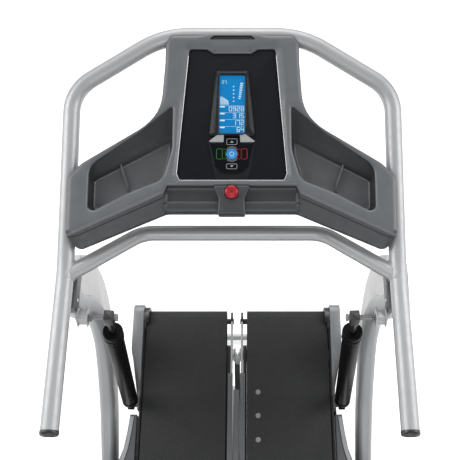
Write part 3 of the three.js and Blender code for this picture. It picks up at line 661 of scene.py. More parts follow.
def weld_bead():
    """The weld where the cross handlebar meets the side tube: a bead along their meeting line."""
    toward = (CROSS_END - CROSS_BEND).normalized()
    rail = Vector((0, math.cos(math.radians(28)), math.sin(math.radians(28))))
    side = toward.cross(Vector((0, 0, 1))).normalized()
    up = side.cross(toward)
    heading = toward - rail * toward.dot(rail)
    line = []
    for x, y in circle(1, 48):
        start = CROSS_BEND + (side * x + up * y) * (CROSS_R + 0.4)
        offset = start - ELBOW
        across = offset - rail * offset.dot(rail)
        a, b = heading.dot(heading), across.dot(heading)
        c = across.dot(across) - (TUBE_R + 0.4) ** 2
        line.append(start + toward * (-b - math.sqrt(max(0, b * b - a * c))) / a)
    return tube(line, 2.4, 10, loop=True)


def end_cap():
    """Black plug in the handle's open end, with a thin rim and a dished face."""
    profile = [(0, -4), (12, -5), (13.6, -7), (14.2, -10.2), (15, -11), (17, -10.6), (19, -8.4),
               (19.6, -5), (19.6, -1.4), (19.2, -0.4), (18, 0.3), (0, 0.3)]
    tilt = Matrix.Rotation(REAR_SLOPE - math.pi / 2, 4, "X")
    return turned(profile).moved(Matrix.Translation(on_loop(HANDLE_X, HANDLE_END_Y)) @ tilt)


def joint_cover():
    """Two half shells around the joint of leg and handrail, with a parting groove."""
    near, far = 20, 64
    rear, front = -62, 26
    corners = ((rear, near, 3), (rear, far, 9), (ELBOW.y, far, 0), (front, far, 9),
               (front, near, 3), (ELBOW.y, near, 0))
    points = outline([(*below_loop(y, distance), radius) for y, distance, radius in corners])
    inner = slab_x(points, HANDLE_X - 22, HANDLE_X - 0.6, 3)
    return inner + slab_x(points, HANDLE_X + 0.6, HANDLE_X + 25, 3)


def build_handrail():
    piece("handrail_tube", tube(loop_stations(), TUBE_R, 48), SILVER, node="handlebar_loop")
    cross = route(both_halves([(CROSS_END, 0), (CROSS_BEND, 75)]))
    piece("cross_bar_tube", tube(cross, CROSS_R, 44), SILVER, node="cross_handlebar")
    pair("weld_bead", weld_bead(), SILVER)
    pair("handle_plug", end_cap(), CAP_BLACK, node="{}_end_cap")
    pair("joint_shells", joint_cover(), COVER_GREY, node="{}_joint_cover")
    screws = [disc_x(4, HANDLE_X - 23.4, HANDLE_X - 21, *below_loop(y, 42), 0.8) for y in (-40, 10)]
    pair("joint_screws", screws[0] + screws[1], STEEL)


# ---- legs
LEG_LINE = [(-215, 30), (-120, 124), (-34, 222), (35, 308), (80, 375), (120, 455), (146, 530),
            (150, 592), (140, 652), (112, 722), (74, 780), (34, 828), (-14, 912)]
LEG_SECTION = (42, 58, 17)            # width, depth and corner radius
FAIRING_EDGE = [(100, 934), (158, 868), (196, 796), (226, 720), (241, 640), (238, 548),
                (214, 462), (172, 366), (122, 276), (62, 207), (3, 149), (-40, 112)]
FAIRING_INNER = [(-62, 150), (20, 260), (90, 390), (140, 520), (138, 632), (98, 726),
                 (30, 818), (-8, 872), (30, 934)]


def leg():
    line = smooth_line([Vector((HANDLE_X, y, z)) for y, z in LEG_LINE])
    floor = box_of("right_leg")[0].z
    line = [at for at in line if at.z > floor + 16]
    line.insert(0, line[0] + (line[0] - line[1]).normalized() * 8)
    return swept(line, box_outline(*LEG_SECTION, step=9))


def fairing():
    """Curved trim along the leg's front edge."""
    points = smooth_line(lifted(FAIRING_EDGE, 0)) + smooth_line(lifted(FAIRING_INNER, 0))
    return slab_x(anticlockwise([(p.x, p.y) for p in points]), HANDLE_X - 13, HANDLE_X + 9, 4)


def build_legs():
    pair("leg_tube", leg(), LEG_GREY, node="{}_leg")
    pair("leg_trim", fairing(), FAIRING, node="{}_leg_fairing")


# ---- cylinders
# Heights are along the cylinder: the upper pin is at 0 and the lower one at minus its length.
BODY_R = 21.5
DIAL_R = 23.5
ROD_R = 7


def dial():
    """Resistance dial: two tiers with a groove between them."""
    return ring_turned([(9, -110), (20, -110), (21.5, -108.6), (23.4, -106.5), (DIAL_R, -93.5),
                        (22.8, -92), (21.4, -91.2), (21.4, -87.4), (22.8, -86.4), (DIAL_R, -84.6),
                        (DIAL_R, -76), (22, -73.4), (19.5, -72), (9, -72)], 64)


def dial_grips():
    """Raised grips around the lower tier."""
    grip = bar(-1.6, 1.6, -0.9, 0.9, -106, -94, 0.7)
    grips = Shape()
    for i in range(16):
        grips += grip.moved(Matrix.Rotation(TAU * i / 16, 4, "Z") @ shift(0, DIAL_R - 0.6))
    return grips


def barrel(low):
    """Damper body with a ring groove and a tapered cap; its lower eye turns on the treadle stud."""
    cap = [(7.6, 22), (12, 22), (15.5, 26), (17.4, 31), (18, 33), (18, 35.5), (20.4, 37), (BODY_R, 39.5),
           (BODY_R, 58), (20.9, 59), (20.9, 61), (BODY_R, 62)]
    top = [(BODY_R, -119), (20.6, -114), (19, -110.4), (7.6, -110.4)]
    body = ring_turned([(r, low + z) for r, z in cap] + top, 64)
    eye = ring_turned([(9, -9), (12, -9), (13, -8), (13, 8), (12, 9), (9, 9)], 40)
    eye = eye.moved(shift(0, 0, low) @ QUARTER_TURN)
    return body + eye + turned([(0, low + 12), (8.6, low + 12), (8.6, low + 24), (0, low + 24)], 32)


def rod():
    """Damper rod with its clevis block and boss."""
    clevis = bar(-11, 11, -12, 12, -18, 13, 2.4)
    boss = turned([(0, -28), (9.6, -28), (11, -26.6), (11, -17), (0, -17)], 40)
    return clevis + boss + turned([(0, -310), (6.6, -310), (ROD_R, -309), (ROD_R, -20), (0, -20)], 32)


def build_cylinders():
    low = -(LOWER_PIN - UPPER_PIN).length
    for name, shape, finish, body, node in (
            ("damper_rod", rod(), CAP_BLACK, "{}_cylinder_rod", "{}_cylinder_rod"),
            ("damper_dial", dial(), CYLINDER_BLACK, "{}_dial", "{}_resistance_dial"),
            ("dial_grips", dial_grips(), CYLINDER_BLACK, "{}_dial", None),
            ("damper_body", barrel(low), CYLINDER_BLACK, "{}_cylinder_barrel", "{}_cylinder_barrel")):
        pair(name, shape, finish, body, CYLINDER, node)
    at, outer = UPPER_PIN, HANDLE_X - 22.3
    arm = block_x(314, outer, at, 12, 2)
    flanges = block_x(313, 317, at, 15, 1) + block_x(outer - 4, outer, at, 15, 1)
    pair("damper_bracket", arm + flanges, SILVER, node="{}_shock_bracket")
    pin = disc_x(6, 253, 320, at.y, at.z, 0.8) + disc_x(9.4, 307, 310, at.y, at.z, 0.8)
    head = slab_x(circle(9, 6, at.y, at.z), 249, 254.6, 1.0)
    pair("damper_pin", pin + head, PIN_STEEL)


# ---- treadles
# Treadle shapes are in (x, y, z) with the rear axle at y = 0 and the belt's top surface level.
BELT_IN, BELT_OUT = 29, 262
BELT_R, BELT_THICK = 30.5, 2.1
ROLLER_R = 28
RAIL_R = 22
CHEEK_IN, CHEEK_THIN, CHEEK_OUT = 270.6, 280, 301
FIN_SIDE = [(606, -36, 14), (700, -34, 0), (TREADLE_LENGTH + 44, -30, 28),
            (TREADLE_LENGTH + 48, 43, 30), (742, 38, 40), (664, 8, 30), (606, 6, 14)]


def stadium(radius, front=TREADLE_LENGTH, rear=0.0, steps=20):
    """A side view with a half circle around the rear point and one around the front point."""
    angles = [math.pi * i / steps - math.pi / 2 for i in range(steps + 1)]
    points = [(rear + radius * math.cos(a + math.pi), radius * math.sin(a + math.pi)) for a in angles]
    return points + [(front + radius * math.cos(a), radius * math.sin(a)) for a in angles]


def polar(radius, degrees):
    """A point in a treadle's side view, around the front roller."""
    angle = math.radians(degrees)
    return (TREADLE_LENGTH + radius * math.cos(angle), radius * math.sin(angle))


def belt():
    """An endless belt with rounded edges around the two rollers."""
    edge = 0.7
    section = [(BELT_IN + edge, 0), (BELT_OUT - edge, 0), (BELT_OUT, edge),
               (BELT_OUT, BELT_THICK - edge), (BELT_OUT - edge, BELT_THICK),
               (BELT_IN + edge, BELT_THICK), (BELT_IN, BELT_THICK - edge), (BELT_IN, edge)]
    rings = [[Vector((x, y, z)) for y, z in divided(stadium(BELT_R - inward), 60)]
             for x, inward in section]
    return skin(rings, loop=True)


def belt_dots():
    """Three round marks printed on the right belt."""
    dots = Shape()
    dot = turned([(0, 0), (7, 0), (7, 0.16), (6.7, 0.25), (0, 0.25)], 32)
    for y in (651, 586, 521):
        dots += dot.moved(shift(61, y, BELT_R))
    return dots


def fin():
    """Side cheek that guards the roller end; it is thinner beside the damper."""
    side = divided(outline(FIN_SIDE), 14)
    thick = CHEEK_OUT - CHEEK_THIN
    outer = [min(CHEEK_OUT, max(CHEEK_THIN, CHEEK_THIN + (y - 690) * thick / 78)) for y, _ in side]
    rings = [[Vector((CHEEK_IN + step, y, z)) for y, z in inset(side, inward)]
             for inward, step in ((2.2, 0), (0.6, 0.4), (0, 1.8))]
    rings += [[Vector((x + step, y, z)) for (y, z), x in zip(inset(side, inward), outer)]
              for inward, step in ((0, -2), (0.6, -0.6), (2.2, 0))]
    return skin(rings)


def roller_guard():
    """Black end cap that hoods the belt's edge at the front roller."""
    hood = [polar(42, angle) for angle in range(-40, 111, 6)]
    hood += [polar(31.4, angle) for angle in range(110, -41, -6)]
    plate = circle(40, 40, TREADLE_LENGTH, 0)
    return slab_x(hood, 255.5, CHEEK_IN, 0.8) + slab_x(plate, 262.8, 270.4, 1.2)


def side_rail(x0, x1):
    return slab_x(divided(stadium(RAIL_R), 80), x0, x1, 1.5)


def treadle_rails():
    """Welded inner rail and cross bars of one treadle."""
    rails = side_rail(12, 17.5)
    for y in (110, 430, 745):
        rails += bar(22, 267, y, y + 30, -18, 12, 2)
    return rails


def build_treadles():
    def on_treadle(name, shape, finish, node=None, smooth=38):
        pair(name, shape, finish, "{}_treadle", TREADLE, node, smooth)

    on_treadle("belt", belt(), BELT, "{}_walking_belt", 50)
    piece("right_belt_dots", belt_dots(), DOT_GREY, "right_treadle", TREADLE)
    on_treadle("side_cheek", fin(), TREADLE_GREY, "{}_treadle_frame")
    on_treadle("treadle_rails", treadle_rails(), LEG_GREY)
    on_treadle("outer_rail", side_rail(265, 271.6), CAP_BLACK)
    on_treadle("rocker_lug", bar(265, 272, 800, 836, -92, -10, 2), BASE_BLACK)
    pin = Matrix.Rotation(-TREADLE_SLOPE, 4, "X") @ (LOWER_PIN - Vector((0, HINGE.y, HINGE.z)))
    on_treadle("damper_stud", disc_x(6, 279, 313, pin.y, pin.z, 1), PIN_STEEL)
    on_treadle("roller_guard", roller_guard(), CAP_BLACK)
    tip = slab_x(stadium(23.4, TREADLE_LENGTH + 4, TREADLE_LENGTH + 1), 11.4, 18.1, 1.5)
    on_treadle("rail_tip", tip, CAP_BLACK)
    web = divided(outline([(30, -21, 2), (790, -21, 2), (790, 19, 6), (30, 19, 6)]), 60)
    on_treadle("inner_web", slab_x(web, 18.4, BELT_IN - 0.5, 1), CAP_BLACK)
    cover = divided(outline([(60, 18, 4), (712, 18, 4), (700, 31, 8), (60, 31, 4)]), 40)
    on_treadle("inner_rail_cover", slab_x(cover, 10.4, 24.6, 2.4), COVER_GREY)
    on_treadle("deck_board", bar(34, 258, 62, 812, 15, 27.8, 1), DECK_BOARD, "{}_deck")
    drum = disc_x(ROLLER_R, BELT_IN + 2, BELT_OUT - 2, TREADLE_LENGTH, 0, 1.5)
    shaft = disc_x(8, 9, 270, TREADLE_LENGTH, 0, 0.8)
    pair("front_drum", drum + shaft, BASE_BLACK, "{}_front_roller", TREADLE, "{}_front_roller")


def build_drive():
    drums = disc_x(ROLLER_R, BELT_IN + 2, BELT_OUT - 2, edge=1.5)
    drums += drums.mirrored()
    shaft = disc_x(10, -318, 318, edge=1)
    pulley = disc_x(34, -298, -296.4, edge=0.6) + disc_x(32.6, -297, -283, edge=0.4)
    pulley += disc_x(34, -283.6, -282, edge=0.6)
    piece("rear_axle_drums", drums + shaft + pulley, STEEL, "drive_axle", TREADLE, "drive_axle")
    rocker = disc_x(11, -282, 282, ROCKER_PIN.y, ROCKER_PIN.z, 1.5)
    hub = slab(circle(19, 40, 0, ROCKER_PIN.z), -ROCKER_PIN.y - 13, -ROCKER_PIN.y + 13, 1.5)
    piece("rocker_bar", rocker + hub.moved(ALONG), STEEL, "rocker_arm", node="rocker_arm")
    for node, finish in (("motor", STEEL), ("motor_pulley", STEEL), ("drive_belt", RUBBER)):
        dressed(node, finish, 0.8)


# ---- base and covers
PLATFORM_EDGE = [(294, 22), (299, -20), (306, -60), (320, -98), (344, -132), (372, -178), (385, -215)]
PLATFORM_TOP = (26.5, 356.3)          # a point of the platform's sloping top, in (y, z)
PLATFORM_SLOPE = 0.365


def foot(at):
    profile = [(0, 0), (22, 0), (24, 1), (27, 4.5), (26.6, 8), (25.4, 14), (24, 16), (20, 17.7),
               (0, 17.7)]
    return turned(profile, 48).moved(shift(at.x, at.y))


def wheel():
    profile = [(5.3, 0), (13, 0), (14, 1.6), (18, 1.6), (19.4, 0.4), (21.4, 0.4), (23, 2.6),
               (23, 13.4), (21.4, 15.6), (19.4, 15.6), (18, 14.4), (14, 14.4), (13, 16), (5.3, 16)]
    low, middle = box_of("right_transport_wheel")
    return ring_turned(profile, 56).moved(shift(low.x, middle.y, middle.z) @ QUARTER_TURN)


def build_base():
    for node in ("right_base_rail", "left_base_rail", "rear_cross_member"):
        dressed(node, BASE_BLACK, 2)
    dressed("centre_frame", LEG_GREY, 2)
    dressed("front_stabiliser", SILVER, 1)
    for end in ("front", "rear"):
        middle = box_of(f"right_{end}_foot")[1]
        pair(f"{end}_rubber_foot", foot(middle), RUBBER, node="{}_" + f"{end}_foot")
    pair("wheel", wheel(), RUBBER, "{}_transport_wheel", node="{}_transport_wheel")


def platform_strip(near, far, rise):
    """A strip that follows the platform's outer edge, between two distances inside it."""
    points = smooth_line(lifted(PLATFORM_EDGE, 0), 5)
    rings = []
    for i, at in enumerate(points):
        heading = points[min(i + 1, len(points) - 1)] - points[max(i - 1, 0)]
        inward = Vector((heading.y, -heading.x, 0)).normalized()
        ring = []
        for distance, lift in ((near, -3), (near, rise), (far, rise), (far, -3)):
            spot = at + inward * distance
            spot.z = PLATFORM_TOP[1] + (spot.y - PLATFORM_TOP[0]) * PLATFORM_SLOPE + lift
            ring.append(spot)
        rings.append(ring)
    return skin(rings)


def build_covers():
    for node in ("right_foot_platform", "left_foot_platform"):
        dressed(node, COVER_GREY, 3, 20)
    pair("platform_flange", platform_strip(1.2, 11, 0.5), LEG_GREY)
    pair("platform_seam", platform_strip(11.4, 13.4, 0.4), CAP_BLACK)
    for node, finish, edge in (("rear_cover", COVER_GREY, 2), ("centre_cover", COVER_GREY, 3),
                               ("power_inlet", BACK_DARK, 0.6), ("power_switch", RED, 0.5)):
        dressed(node, finish, edge)


# ---- console shell
# Console shapes are in the console's own plane: its top surface is at z = 0.
SHELL_HALF = [(0, -402, 0), (142, -402, 30), (332, -483, 18), (354, -454, 18), (356, -324, 20),
              (326, -294, 40), (158, -190, 105), (150, -60, 30), (150, 0, 20)]
SHELL_DEPTH = 42
TOP_LIP = 5.2                         # the top edge reaches this far over the handrail tube
TRAY_RIM = [(310, -408, 12), (222, -361, 60), (150, -332, 36), (131, -262, 60),
            (131, -162, 4), (200, -222, 60), (310, -300, 40)]
TRAY_CENTRE = Vector((220, -310))
TRAY_DEPTH = 36
TRAY_FOOT_R = 7                       # the fillet between a tray's wall and floor
TRAY_LIP = [(-1, 0), (-0.64, -0.1), (-0.3, -0.32), (-0.08, -0.64), (0, -1)]
TRAY_LIP_DEPTH = 5
PANEL_HALF = [(0, -333, 0), (114, -333, 6), (120, -318, 6), (97, -27, 8), (57, -28, 10),
              (42, -38, 6)]
PANEL_DEPTH = 9
PANEL_CHAMFER = [(1, 0), (0.9, -0.4), (0.2, -4.4), (0.06, -5.2), (0, -6.2),
                 (0, -PANEL_DEPTH - 3)]
LEDGE_HALF = 140                      # the stepped ledge under the panel reaches this far
BUTTON_Y = -361
BUTTON_R = 14.6
# Centre fascia, from the front edge up to the top plate: share of the way and height.
STEPPED_FRONT = [(0.0, -22), (0.03, -15), (0.1, -12.5), (0.34, -11), (0.4, -12.5), (0.43, -19),
                 (0.5, -20), (0.79, -17), (0.81, -16.9), (0.83, -16.8), (0.9, -15.6), (0.95, -14),
                 (1.0, -6.2)]
GROOVE_SHARE = 0.81
# The shell's material numbers. The tray wall and floor finishes are darker copies of the shell's grey
# plastic: painted shade inside the trays.
SHELL_FINISHES = [SHELL_GREY, SHELL_DARK, CAP_BLACK, TRAY_WALL_SHADE, TRAY_FLOOR_SHADE]
MARK_TOP, MARK_FRONT, MARK_SLOT_SHADE, MARK_WALL_SHADE, MARK_FLOOR_SHADE = range(5)


def on_console(name, shape, finishes, node=None, body="frame", weld=False):
    piece(name, shape, finishes, body, CONSOLE, node, weld=weld)


def limited(value):
    return min(1, max(0, value))


def fascia_top(x):
    """Where the top plate ends and the front fascia begins."""
    centre = BUTTON_Y + BUTTON_R + 1
    wing = -364 - 0.47 * max(0, abs(x) - 150)
    return centre + (wing - centre) * limited((abs(x) - LEDGE_HALF) / 8)


def fascia_rings(low_ring):
    """Rings that climb the front fascia: stepped in the middle, with a parting groove on the wings."""
    rings = []
    for share, height in STEPPED_FRONT:
        ring = []
        groove = 1.6 if share == GROOVE_SHARE else 0
        plain = -22 + 16 * share
        for x, y in low_ring:
            top = fascia_top(x)
            if y > top:
                ring.append(Vector((x, y, plain)))
                continue
            centre = limited((LEDGE_HALF + 6 - abs(x)) / 6)
            inward = groove * (1 - centre)
            z = plain + (height - plain) * centre - inward
            ring.append(Vector((x, y + (top - y) * share + inward, z)))
        rings.append(ring)
    return rings


def shell_top():
    """The shell's lower outline, and the top plate's edge, whose upper side hoods the handrail."""
    low = divided(outline(symmetric(SHELL_HALF)), 5)
    top = []
    for x, y in low:
        hood = TOP_LIP * limited((149 - abs(x)) / 6) if y > -12 else 0
        top.append((x, max(y, fascia_top(x)) + hood * (y + 12) / 12))
    return low, top


def tray_edge():
    return divided(outline(TRAY_RIM), 6)


def panel_edge(longest=8):
    return divided(outline(symmetric(PANEL_HALF)), longest)


def slot_edge():
    """A shallow slot near the top edge."""
    return divided(outline([(-54, -7.5, 2), (54, -7.5, 2), (42, 2.2, 2), (-42, 2.2, 2)]), 6)


def room(points, share, most, *others):
    """For each point a share of its distance to the other outlines, up to a limit."""
    rivals = [point for other in others for point in other]
    return [min(most, share * min(math.dist((abs(x), y), rival) for rival in rivals))
            for x, y in points]


def shell_skin():
    """The shell from its underside up the fascia and over the rounded edge, and its last ring."""
    low, top = shell_top()
    rings = stepped(low, [(2, -SHELL_DEPTH)]) + [lifted(low, -SHELL_DEPTH + 2)] + fascia_rings(low)
    front = len(rings)
    width = room(top, 0.38, 12, tray_edge(), panel_edge(), slot_edge())
    drop = 7
    for i in range(8):
        angle = math.pi / 2 * i / 7
        ring = inset(top, [w * (1 - math.cos(angle)) for w in width])
        height = drop * math.sin(angle) - drop
        rings.append([Vector((x, y, max(height, -2.8) if ty > 0.5 else height))
                      for (x, y), (_, ty) in zip(ring, top)])
    marks = [MARK_FRONT] * front + [MARK_TOP] * 7
    return skin(rings, caps=False, marks=marks), rings[-1]


def tray_rings(sign):
    """A tray's rounded lip, walls, filleted foot and floor."""
    rim = tray_edge()
    floor = []
    for x, y in rim:
        fx, fy = TRAY_CENTRE + 0.93 * (Vector((x, y)) - TRAY_CENTRE)
        floor.append((fx, min(fy, -330 + 0.506 * (304 - fx))))

    def toward_floor(share):
        return [(x + (fx - x) * share, y + (fy - y) * share) for (x, y), (fx, fy) in zip(rim, floor)]

    lip = room(rim, 0.38, 6, shell_top()[1], panel_edge())
    rings = [lifted(inset(rim, [inward * w for w in lip]), z * TRAY_LIP_DEPTH)
             for inward, z in TRAY_LIP]
    wall_end = TRAY_FOOT_R - TRAY_DEPTH
    wall_share = -wall_end / TRAY_DEPTH
    for share in (0.2, 0.4, 0.6, 0.8):
        rings.append(lifted(toward_floor(share * wall_share),
                            (wall_end + TRAY_LIP_DEPTH) * share - TRAY_LIP_DEPTH))
    for i in range(5):
        angle = math.pi / 2 * i / 4
        shrink = 1 - 0.06 * (1 - math.cos(angle))
        blend = toward_floor(wall_share + (1 - wall_share) * i / 4)
        rings.append(lifted([TRAY_CENTRE + (Vector(point) - TRAY_CENTRE) * shrink for point in blend],
                            wall_end - TRAY_FOOT_R * math.sin(angle)))
    return [[Vector((sign * at.x, at.y, at.z)) for at in ring] for ring in rings]


def filled(loops, mark=0):
    """A flat face that is bounded by the first loop and has the other loops as holes."""
    shaped = bmesh.new()
    edges = []
    for loop in loops:
        corners = [shaped.verts.new(point) for point in loop]
        edges += [shaped.edges.new(ends) for ends in edges_of(corners)]
    bmesh.ops.triangle_fill(shaped, use_beauty=True, use_dissolve=False, edges=edges)
    shaped.verts.index_update()
    points = [vert.co.copy() for vert in shaped.verts]
    faces = [tuple(vert.index for vert in face.verts) for face in shaped.faces]
    shaped.free()
    return Shape(points, faces, [mark] * len(faces))


def console_shell():
    """Outer skin, two trays, the panel's recess and the slot at the top edge."""
    shape, last_ring = shell_skin()
    loops = [last_ring]
    for sign in (1, -1):
        tray = tray_rings(sign)
        # The tray's walls and floor take the painted-shade finishes.
        marks = [MARK_TOP] * 4 + [MARK_WALL_SHADE] * (len(tray) - 7) + [MARK_FLOOR_SHADE] * 2
        shape += skin(tray, caps=False, marks=marks)
        shape += filled([tray[-1]], MARK_FLOOR_SHADE)
        loops.append(tray[0])
    panel = panel_edge()
    width = room(panel, 0.4, 15, shell_top()[1], tray_edge())
    recess = [lifted(inset(panel, [-w * share for w in width]), z) for share, z in PANEL_CHAMFER]
    shape += skin(recess, caps=False)
    # The slot's walls and floor are painted black: painted shade inside the shallow slot.
    slit = stepped(slot_edge(), [(0, 0), (0.3, -0.5), (0.5, -2.6)])
    shape += skin(slit, caps=False, marks=[MARK_SLOT_SHADE] * 2)
    shape += filled([slit[-1]], MARK_SLOT_SHADE)
    loops += [recess[0], slit[0]]
    return shape + filled([[Vector((p.x, p.y, 0)) for p in loop] for loop in loops])


def tray_ribs():
    """A curved rib that divides each tray."""
    line = smooth_line(lifted([(247, -280), (243, -300), (236, -320), (230, -338), (228, -352)], 0), 4)
    section = ((-3.5, 0), (-2, 0.75), (-0.8, 1), (0.8, 1), (2, 0.75), (3.5, 0))
    base = -TRAY_DEPTH - 1
    rings = []
    for i, at in enumerate(line):
        height = 13 * math.sin(math.pi * min(1, 0.12 + i / (len(line) - 1) * 0.8))
        rings.append([at + Vector((dx, 0, base + dz * height)) for dx, dz in section])
    ribs = skin(rings)
    return ribs + ribs.mirrored()


# ---- panel and display
PANEL_TOP = -PANEL_DEPTH + 0.3        # what stands on the panel starts this high
TONGUE = [(-33, -334, 5), (33, -334, 5), (44, -290, 20), (52, -240, 6), (-52, -240, 6),
          (-44, -290, 20)]
BEZEL_OUTER = [(-37, -80, 5), (37, -80, 5), (50, -233, 6), (-50, -233, 6)]
BEZEL_INNER = [(-29, -91, 1), (29, -91, 1), (29, -228, 1), (-29, -228, 1)]
# Share of the way from the outer to the inner edge, and height.
BEZEL_PROFILE = ((0, PANEL_TOP), (0, -5), (0.1, -3.4), (0.55, 0.2), (0.72, 1), (0.9, 0.6),
                 (1, -0.6), (1, PANEL_TOP))
FIGURE_BASE = -4.1                    # the display's figures stand on its glass
SEGMENTS = {"0": "abcdef", "1": "bc", "2": "abged", "3": "abgcd", "4": "fgbc", "5": "afgcd",
            "6": "afgedc", "7": "abc", "8": "abcdefg", "9": "abcdfg"}


def along(points, share):
    """The point at a share of the way round a closed outline, from its lowest left corner."""
    start = min(range(len(points)), key=lambda i: points[i][0] + points[i][1])
    edges = edges_of(points[start:] + points[:start])
    left = share * sum(math.dist(a, b) for a, b in edges)
    for a, b in edges:
        length = math.dist(a, b)
        if left <= length:
            part = left / length if length else 0
            return Vector((a[0] + (b[0] - a[0]) * part, a[1] + (b[1] - a[1]) * part))
        left -= length
    return Vector(edges[0][0])


def bezel():
    """Raised frame around the display, with sloping sides."""
    outer, inner = outline(BEZEL_OUTER), outline(BEZEL_INNER)
    rings = []
    for blend, z in BEZEL_PROFILE:
        shares = [i / 96 for i in range(96)]
        rings.append(lifted([along(outer, s).lerp(along(inner, s), blend) for s in shares], z))
    return skin(rings, loop=True)


def sill():
    """Bright sloping sill under the display, cut out for the keypad."""
    right = [(17.5, -231), (28.5, -229), (50, -244), (47, -246.6), (18.5, -246.6)]
    heights = [-1.5, -1.24, -5.2, -5.76, -5.2]
    top = [Vector((x, y, z)) for (x, y), z in zip(right, heights)]
    plate = skin([lifted(right, -PANEL_DEPTH + 0.2), top])
    return plate + plate.mirrored()


def panel_trim():
    """A bright silver wire around the panel's recess, open at the top edge; its brightness also paints
    the highlight along the recess's edge.
    """
    points = [at for at in inset(panel_edge(10), -0.2) if at[1] < -40]
    split = next(i for i, (a, b) in enumerate(zip(points, points[1:])) if math.dist(a, b) > 60) + 1
    return tube(lifted(points[split:] + points[:split], -5.4), 0.8, 10)


def digit(figure, x, y, width, height):
    """One seven-segment figure with its lower left corner at (x, y)."""
    stroke = width * 0.19
    mid = height / 2
    places = {"a": (0, height - stroke, width, height), "d": (0, 0, width, stroke),
              "g": (0, mid - stroke / 2, width, mid + stroke / 2),
              "f": (0, mid, stroke, height), "e": (0, 0, stroke, mid),
              "b": (width - stroke, mid, width, height), "c": (width - stroke, 0, width, mid)}
    shape = Shape()
    for segment in SEGMENTS[figure]:
        x0, y0, x1, y1 = places[segment]
        shape += bar(x + x0, x + x1, y + y0, y + y1, FIGURE_BASE, -3.7, 0.1)
    return shape


def figures(text, x, y, width, height):
    shape = Shape()
    for i, figure in enumerate(text):
        shape += digit(figure, x + i * width * 1.26, y, width, height)
    return shape


def block(x0, x1, y0, y1):
    return bar(x0, x1, y0, y1, FIGURE_BASE, -3.75, 0.1)


def display():
    """A made-up workout display: a profile graph, a scale and rows of right-aligned figures."""
    shape = figures("27", -23, -111, 4.6, 7)
    for i, length in enumerate((20, 19.5, 19, 18, 15, 11, 7)):
        shape += block(-27, -27 + length, -160 + i * 2.7, -158.4 + i * 2.7)
    for i in range(9):
        shape += block(14 + i * 0.5, 19 + i * 0.7, -147 + i * 4.4, -144.6 + i * 4.4)
    for i in range(5):
        shape += block(2, 4.6, -154 + i * 8.6, -151 + i * 8.6)
    for row, text in enumerate(("0928", "315", "172", "64")):
        y = -176 - row * 16
        shape += figures(text, 26.4 - len(text) * 8.8 + 1.8, y, 7, 11)
        shape += block(-27.6, 27.6, y + 12.6, y + 13.2) + block(-27, -16, y + 9, y + 12)
    return shape


# ---- keypad and stop button
KEYPAD_HALF = [(0, -316, 0), (22, -315, 14), (37, -298, 14), (51, -246, 4), (18, -246, 2),
               (15, -236, 3)]
KEYPAD_TOP = -5
# Each key's middle (x, y), width and height.
KEYS = {"up_key": (0, -246, 25, 16), "down_key": (0, -302, 25, 14),
        "start_key": (-27, -274, 15, 26), "stop_key": (27, -274, 15, 26)}
INKS = {"start_key": GLOWING_PRINT_GREEN, "stop_key": GLOWING_PRINT_RED}
KEY_BASE, KEY_TOP = -7.7, -4.2
ENTER_Y = ENTER_MIDDLE.y


def keypad_face():
    """The keypad's plate, with a hole for each key."""
    edge = 0.9
    rings = stepped(outline(symmetric(KEYPAD_HALF)),
                    [(0, PANEL_TOP), (0, KEYPAD_TOP - edge), (0.3, KEYPAD_TOP - 0.3), (edge, KEYPAD_TOP)])
    holes = [box_outline(w + 1, h + 1, 3.4, x, y) for x, y, w, h in KEYS.values()]
    holes.append(circle(12.5, 40, 0, ENTER_Y))
    shape = skin(rings, caps=False)
    loops = [rings[-1]]
    for hole in holes:
        wall = [lifted(hole, KEYPAD_TOP), lifted(hole, PANEL_TOP)]
        shape += skin(wall, caps=False)
        loops.append(wall[0])
    return shape + filled(loops)


def key_print(name, x, y, width, height):
    """The thin printed frame and arrow of a key."""
    low = KEY_TOP - 0.05
    shape = edge_strip(box_outline(width - 1.8, height - 1.8, 2.6, x, y), 0.9, low, KEY_TOP + 0.12)
    if name not in INKS:
        tip = 2.3 if name == "up_key" else -2.3
        arrow = anticlockwise([(x - 4, y - tip), (x + 4, y - tip), (x, y + tip)])
        shape += slab(arrow, low, KEY_TOP + 0.14, 0.02)
    return shape


def arc_strip(radius, middle, half, width):
    """A printed arc around the enter key; its middle and half its length are in degrees."""
    angles = [math.radians(middle - half + 2 * half * i / 12) for i in range(13)]
    far = radius + width
    points = [(far * math.cos(a), ENTER_Y + far * math.sin(a)) for a in angles]
    points += [(radius * math.cos(a), ENTER_Y + radius * math.sin(a)) for a in reversed(angles)]
    return slab(points, KEYPAD_TOP - 0.1, KEYPAD_TOP + 0.14, 0.02)


def keypad_arcs():
    arcs = Shape()
    for middle in (90, 270):
        for radius in (13.6, 16.2):
            arcs += arc_strip(radius, middle, 38, 0.7)
    for middle in (45, 135, 225, 315):
        arcs += arc_strip(13.2, middle, 5, 1.6)
    return arcs


def brace(middle, x0, x1):
    """A printed arc with two arms that reach to a side key."""
    shape = arc_strip(13.6, middle, 46, 1.1)
    for y in (ENTER_Y - 11.4, ENTER_Y + 10.6):
        shape += bar(x0, x1, y, y + 0.8, KEYPAD_TOP - 0.1, KEYPAD_TOP + 0.14, 0.05)
    return shape


